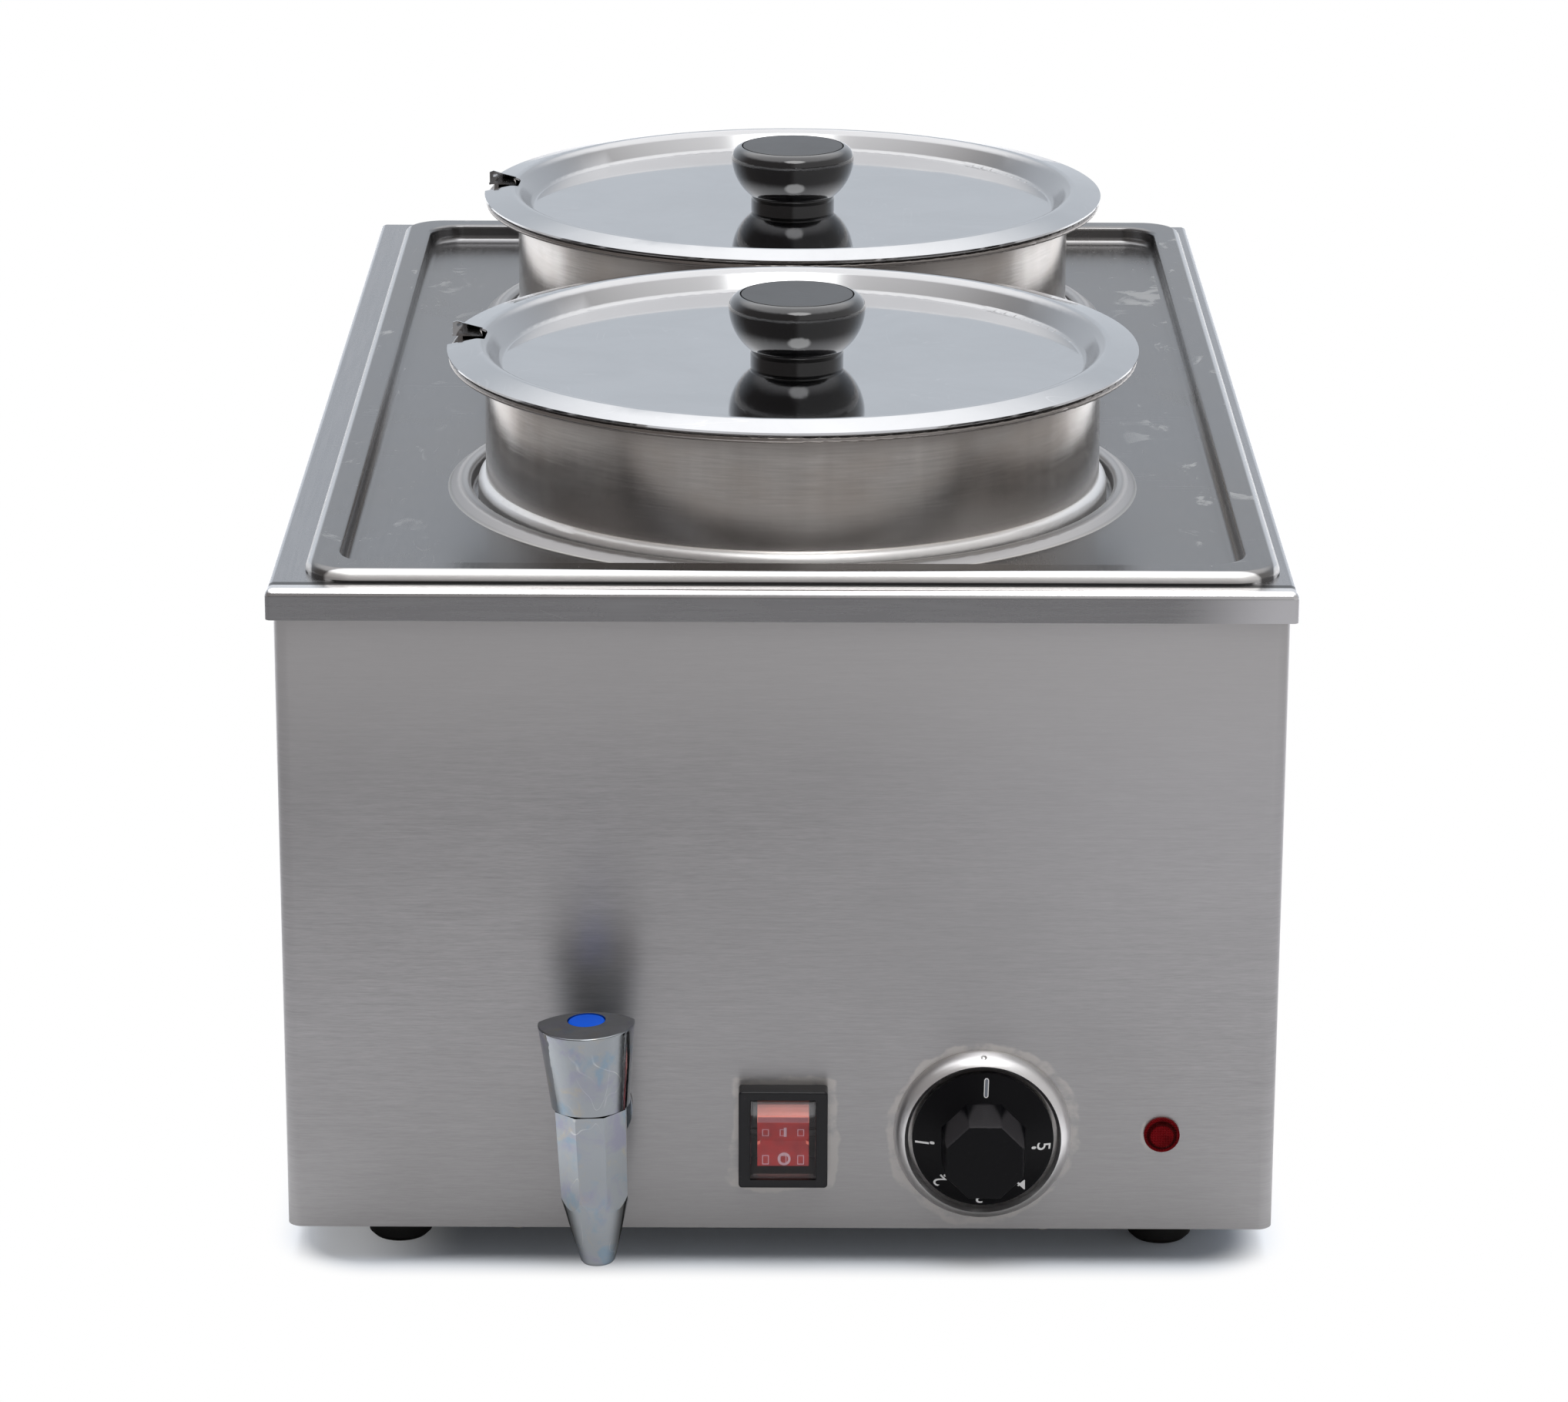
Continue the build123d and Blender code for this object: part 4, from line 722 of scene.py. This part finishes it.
def flatSquares(look):
    holder = bpy.data.objects.new("squares", bpy.data.meshes.new("squares"))
    scene.collection.objects.link(holder)
    grid = holder.modifiers.new("grid", "NODES")
    grid.node_group, socketIds = squareGridTree()
    values = {"Span X": look["span"][0], "Span Y": look["span"][1], "Width": look["size"][0],
              "Height": look["size"][1], "Line": look["line"], "Columns": 3, "Rows": 2, "Finish": pinkPaint}
    for name, value in values.items():
        grid[socketIds[name]] = value
    return shapeOf(holder)


def flatRing(outer, line, steps=32):
    verts = []
    for radius in (outer, outer - line):
        for i in range(steps):
            turn = 2 * pi * i / steps
            verts.append(Vector((radius * cos(turn), radius * sin(turn), 0)))
    faces = [(i, (i + 1) % steps, steps + (i + 1) % steps, steps + i) for i in range(steps)]
    return verts, faces


def flatBar(width, height):
    rows = 6
    verts = []
    for i in range(rows + 1):
        v = height * (i / rows - 0.5)
        verts += [Vector((-width / 2, v, 0)), Vector((width / 2, v, 0))]
    return verts, [(2 * i, 2 * i + 1, 2 * i + 3, 2 * i + 2) for i in range(rows)]


def rockerPatch(name, shape, middle, paint=pinkPaint):
    verts, faces = shape
    placed = [rockerSurface(middle[0] + v.x, middle[1] + v.y) for v in verts]
    return plainMesh(name, placed, faces, paint, "switch_rocker")


rockerPatch("rockerSquares", flatSquares(rocker["squares"]), rocker["squares"]["middle"])
rockerPatch("rockerOnMark", flatBar(*rocker["onBar"]["size"]), rocker["onBar"]["middle"])
rockerPatch("rockerOffMark", flatRing(rocker["offRing"]["outer"], rocker["offRing"]["line"]),
            rocker["offRing"]["middle"])
strip = rocker["strip"]
rockerPatch("rockerStrip", flatBar(2 * strip["halfWidth"], strip["to"] - strip["from"]),
            (0.0, (strip["from"] + strip["to"]) / 2), beadedPaint)
print("rocker marked")

# floor, light and camera
studio = {"floorSize": 30.0, "footprint": (0.138, 0.242, 0.0137), "shrunk": 0.030,
          "whiteFrom": 0.013, "whiteTo": 0.041, "whitePower": 1.6, "seenColor": (0.80, 0.88, 1.0),
          "shadowGlow": 0.016, "leftEnd": ((-0.108, -0.152), 0.24),
          "nearColor": (0.93, 0.93, 0.94), "ringColor": (0.50, 0.50, 0.51), "ringAt": 0.16,
          "farColor": (0.24, 0.235, 0.235), "farAt": 0.75,
          "mirroredShadow": (0.004, 0.055, 0.27),
          "behindColor": (0.80, 0.81, 0.83), "behindSpan": (0.32, 0.60),
          "key": {"size": (1.1, 1.1), "place": (0.0, 0.50, 2.2), "power": 40.0, "aim": (0.0, 0.0, 0.1)},
          "horizonFront": (0.23, 0.215, 0.21), "rightLift": 0.40, "rightSpan": (-0.10, 0.12),
          "horizonBack": (0.66, 0.70, 0.755), "backSpan": (0.1, 0.8),
          "zenith": (1.62, 1.62, 1.64), "zenithSpan": (0.62, 0.90), "zenithLean": 0.28,
          "frontLamp": {"way": (0.05, -0.42, 0.906), "edge": (0.958, 0.985), "strength": 4.5}}


def awayFromObject(tree):
    # distance in metres from a line that runs inside the casing's outline on the floor, by what is shrunk
    point = pointParts(tree)
    halfX, halfY, middleY = studio["footprint"]
    offX = calc(tree, "ABSOLUTE", point[0])
    offY = gap(tree, point[1], middleY)
    return diagonal(tree, calc(tree, "MAXIMUM", calc(tree, "SUBTRACT", offX, halfX), 0.0),
                    calc(tree, "MAXIMUM", calc(tree, "SUBTRACT", offY, halfY), 0.0))


def makeFloor():
    half = studio["floorSize"] / 2
    mesh = bpy.data.meshes.new("floor")
    corners = [(-half, -half, 0), (half, -half, 0), (half, half, 0), (-half, half, 0)]
    mesh.from_pydata(corners, [], [(0, 1, 2, 3)])
    floor = bpy.data.objects.new("floor", mesh)
    scene.collection.objects.link(floor)
    made = bpy.data.materials.new("paleFloor")
    made.use_nodes = True
    tree = made.node_tree
    tree.nodes.clear()
    inset = awayFromObject(tree)
    away = calc(tree, "MAXIMUM", calc(tree, "SUBTRACT", inset, studio["shrunk"]), 0.0)
    seen = tree.nodes.new("ShaderNodeLightPath").outputs["Is Camera Ray"]
    ringAt = studio["ringAt"]
    color = blendColors(tree, ramp(tree, away, 0.0, ringAt), studio["nearColor"], studio["ringColor"])
    color = blendColors(tree, ramp(tree, away, ringAt, studio["farAt"]), color, studio["farColor"])
    # painted shadow: rays other than the camera's see the floor dark along the object's front, and pale far
    # behind it
    start, end, dark = studio["mirroredShadow"]
    color = blendColors(tree, ramp(tree, away, start, end), (dark, dark, dark), color)
    behind = ramp(tree, axisOf(tree, 1), *studio["behindSpan"])
    color = blendColors(tree, behind, color, studio["behindColor"])
    color = blendColors(tree, seen, color, studio["seenColor"])
    matte = addNode(tree, "ShaderNodeBsdfDiffuse", {"Color": color}).outputs[0]
    glow = addNode(tree, "ShaderNodeEmission", {"Color": (1, 1, 1, 1), "Strength": 1.0}).outputs[0]
    fade = ramp(tree, inset, studio["whiteFrom"], studio["whiteTo"])
    # painted light: a white glow lifts the shadow a little everywhere, and more under the object's left end
    left, leftGlow = studio["leftEnd"]
    thin = calc(tree, "MULTIPLY_ADD", ramp(tree, axisOf(tree, 0), *left), leftGlow, studio["shadowGlow"])
    lit = calc(tree, "MAXIMUM", calc(tree, "POWER", fade, studio["whitePower"]), thin)
    share = calc(tree, "MULTIPLY", seen, lit)
    mixed = addNode(tree, "ShaderNodeMixShader", {0: share, 1: matte, 2: glow}).outputs[0]
    addNode(tree, "ShaderNodeOutputMaterial", {"Surface": mixed})
    mesh.materials.append(made)


def makeWorld():
    world.use_nodes = True
    tree = world.node_tree
    tree.nodes.clear()
    way = addNode(tree, "ShaderNodeTexCoord").outputs["Generated"]
    wayX, wayY, wayZ = addNode(tree, "ShaderNodeSeparateXYZ", {0: way}).outputs
    right = ramp(tree, wayX, *studio["rightSpan"], 0.0, studio["rightLift"])
    front = blendColors(tree, right, studio["horizonFront"], (1.0, 1.0, 1.0))
    low = blendColors(tree, ramp(tree, wayY, *studio["backSpan"]), front, studio["horizonBack"])
    lean = calc(tree, "MULTIPLY_ADD", wayY, studio["zenithLean"], wayZ)
    color = blendColors(tree, ramp(tree, lean, *studio["zenithSpan"]), low, studio["zenith"])
    # a bright patch of the dome in front of the object
    lamp = studio["frontLamp"]
    aim = addNode(tree, "ShaderNodeVectorMath", {0: way, 1: lamp["way"]},
                  operation="DOT_PRODUCT").outputs["Value"]
    color = blendColors(tree, ramp(tree, aim, *lamp["edge"]), color, (lamp["strength"],) * 3)
    sky = addNode(tree, "ShaderNodeBackground", {"Color": color, "Strength": 1.0}).outputs[0]
    addNode(tree, "ShaderNodeOutputWorld", {"Surface": sky})


def makeKeyLight():
    # it stays out of the steel's reflections
    look = studio["key"]
    lamp = bpy.data.lights.new("key", "AREA")
    lamp.shape = "RECTANGLE"
    lamp.size, lamp.size_y = look["size"]
    lamp.energy = look["power"]
    holder = bpy.data.objects.new("key", lamp)
    scene.collection.objects.link(holder)
    holder.location = look["place"]
    way = Vector(look["aim"]) - Vector(look["place"])
    holder.rotation_euler = way.to_track_quat("-Z", "Y").to_euler()
    holder.visible_glossy = False


def makeCamera():
    view = {"place": (0.00097, -2.00074, 0.75746), "pitch": 0.3075, "yaw": -0.0001, "roll": 0.0034,
            "pixels": 7152.6342, "width": 2036}
    lens = bpy.data.cameras.new("camera")
    lens.sensor_width = 36.0
    lens.lens = view["pixels"] * 36.0 / view["width"]
    lens.clip_end = 100.0
    camera = bpy.data.objects.new("camera", lens)
    scene.collection.objects.link(camera)
    ahead = Vector((sin(view["yaw"]) * cos(view["pitch"]), cos(view["yaw"]) * cos(view["pitch"]),
                    -sin(view["pitch"])))
    flat = Vector((cos(view["yaw"]), -sin(view["yaw"]), 0))
    top = flat.cross(ahead)
    right = flat * cos(view["roll"]) + top * sin(view["roll"])
    up = top * cos(view["roll"]) - flat * sin(view["roll"])
    turn = Matrix((right, up, -ahead)).transposed().to_4x4()
    camera.matrix_world = Matrix.Translation(view["place"]) @ turn
    scene.camera = camera


makeFloor()
makeWorld()
makeKeyLight()
makeCamera()
print("studio made")

bpy.context.view_layer.update()
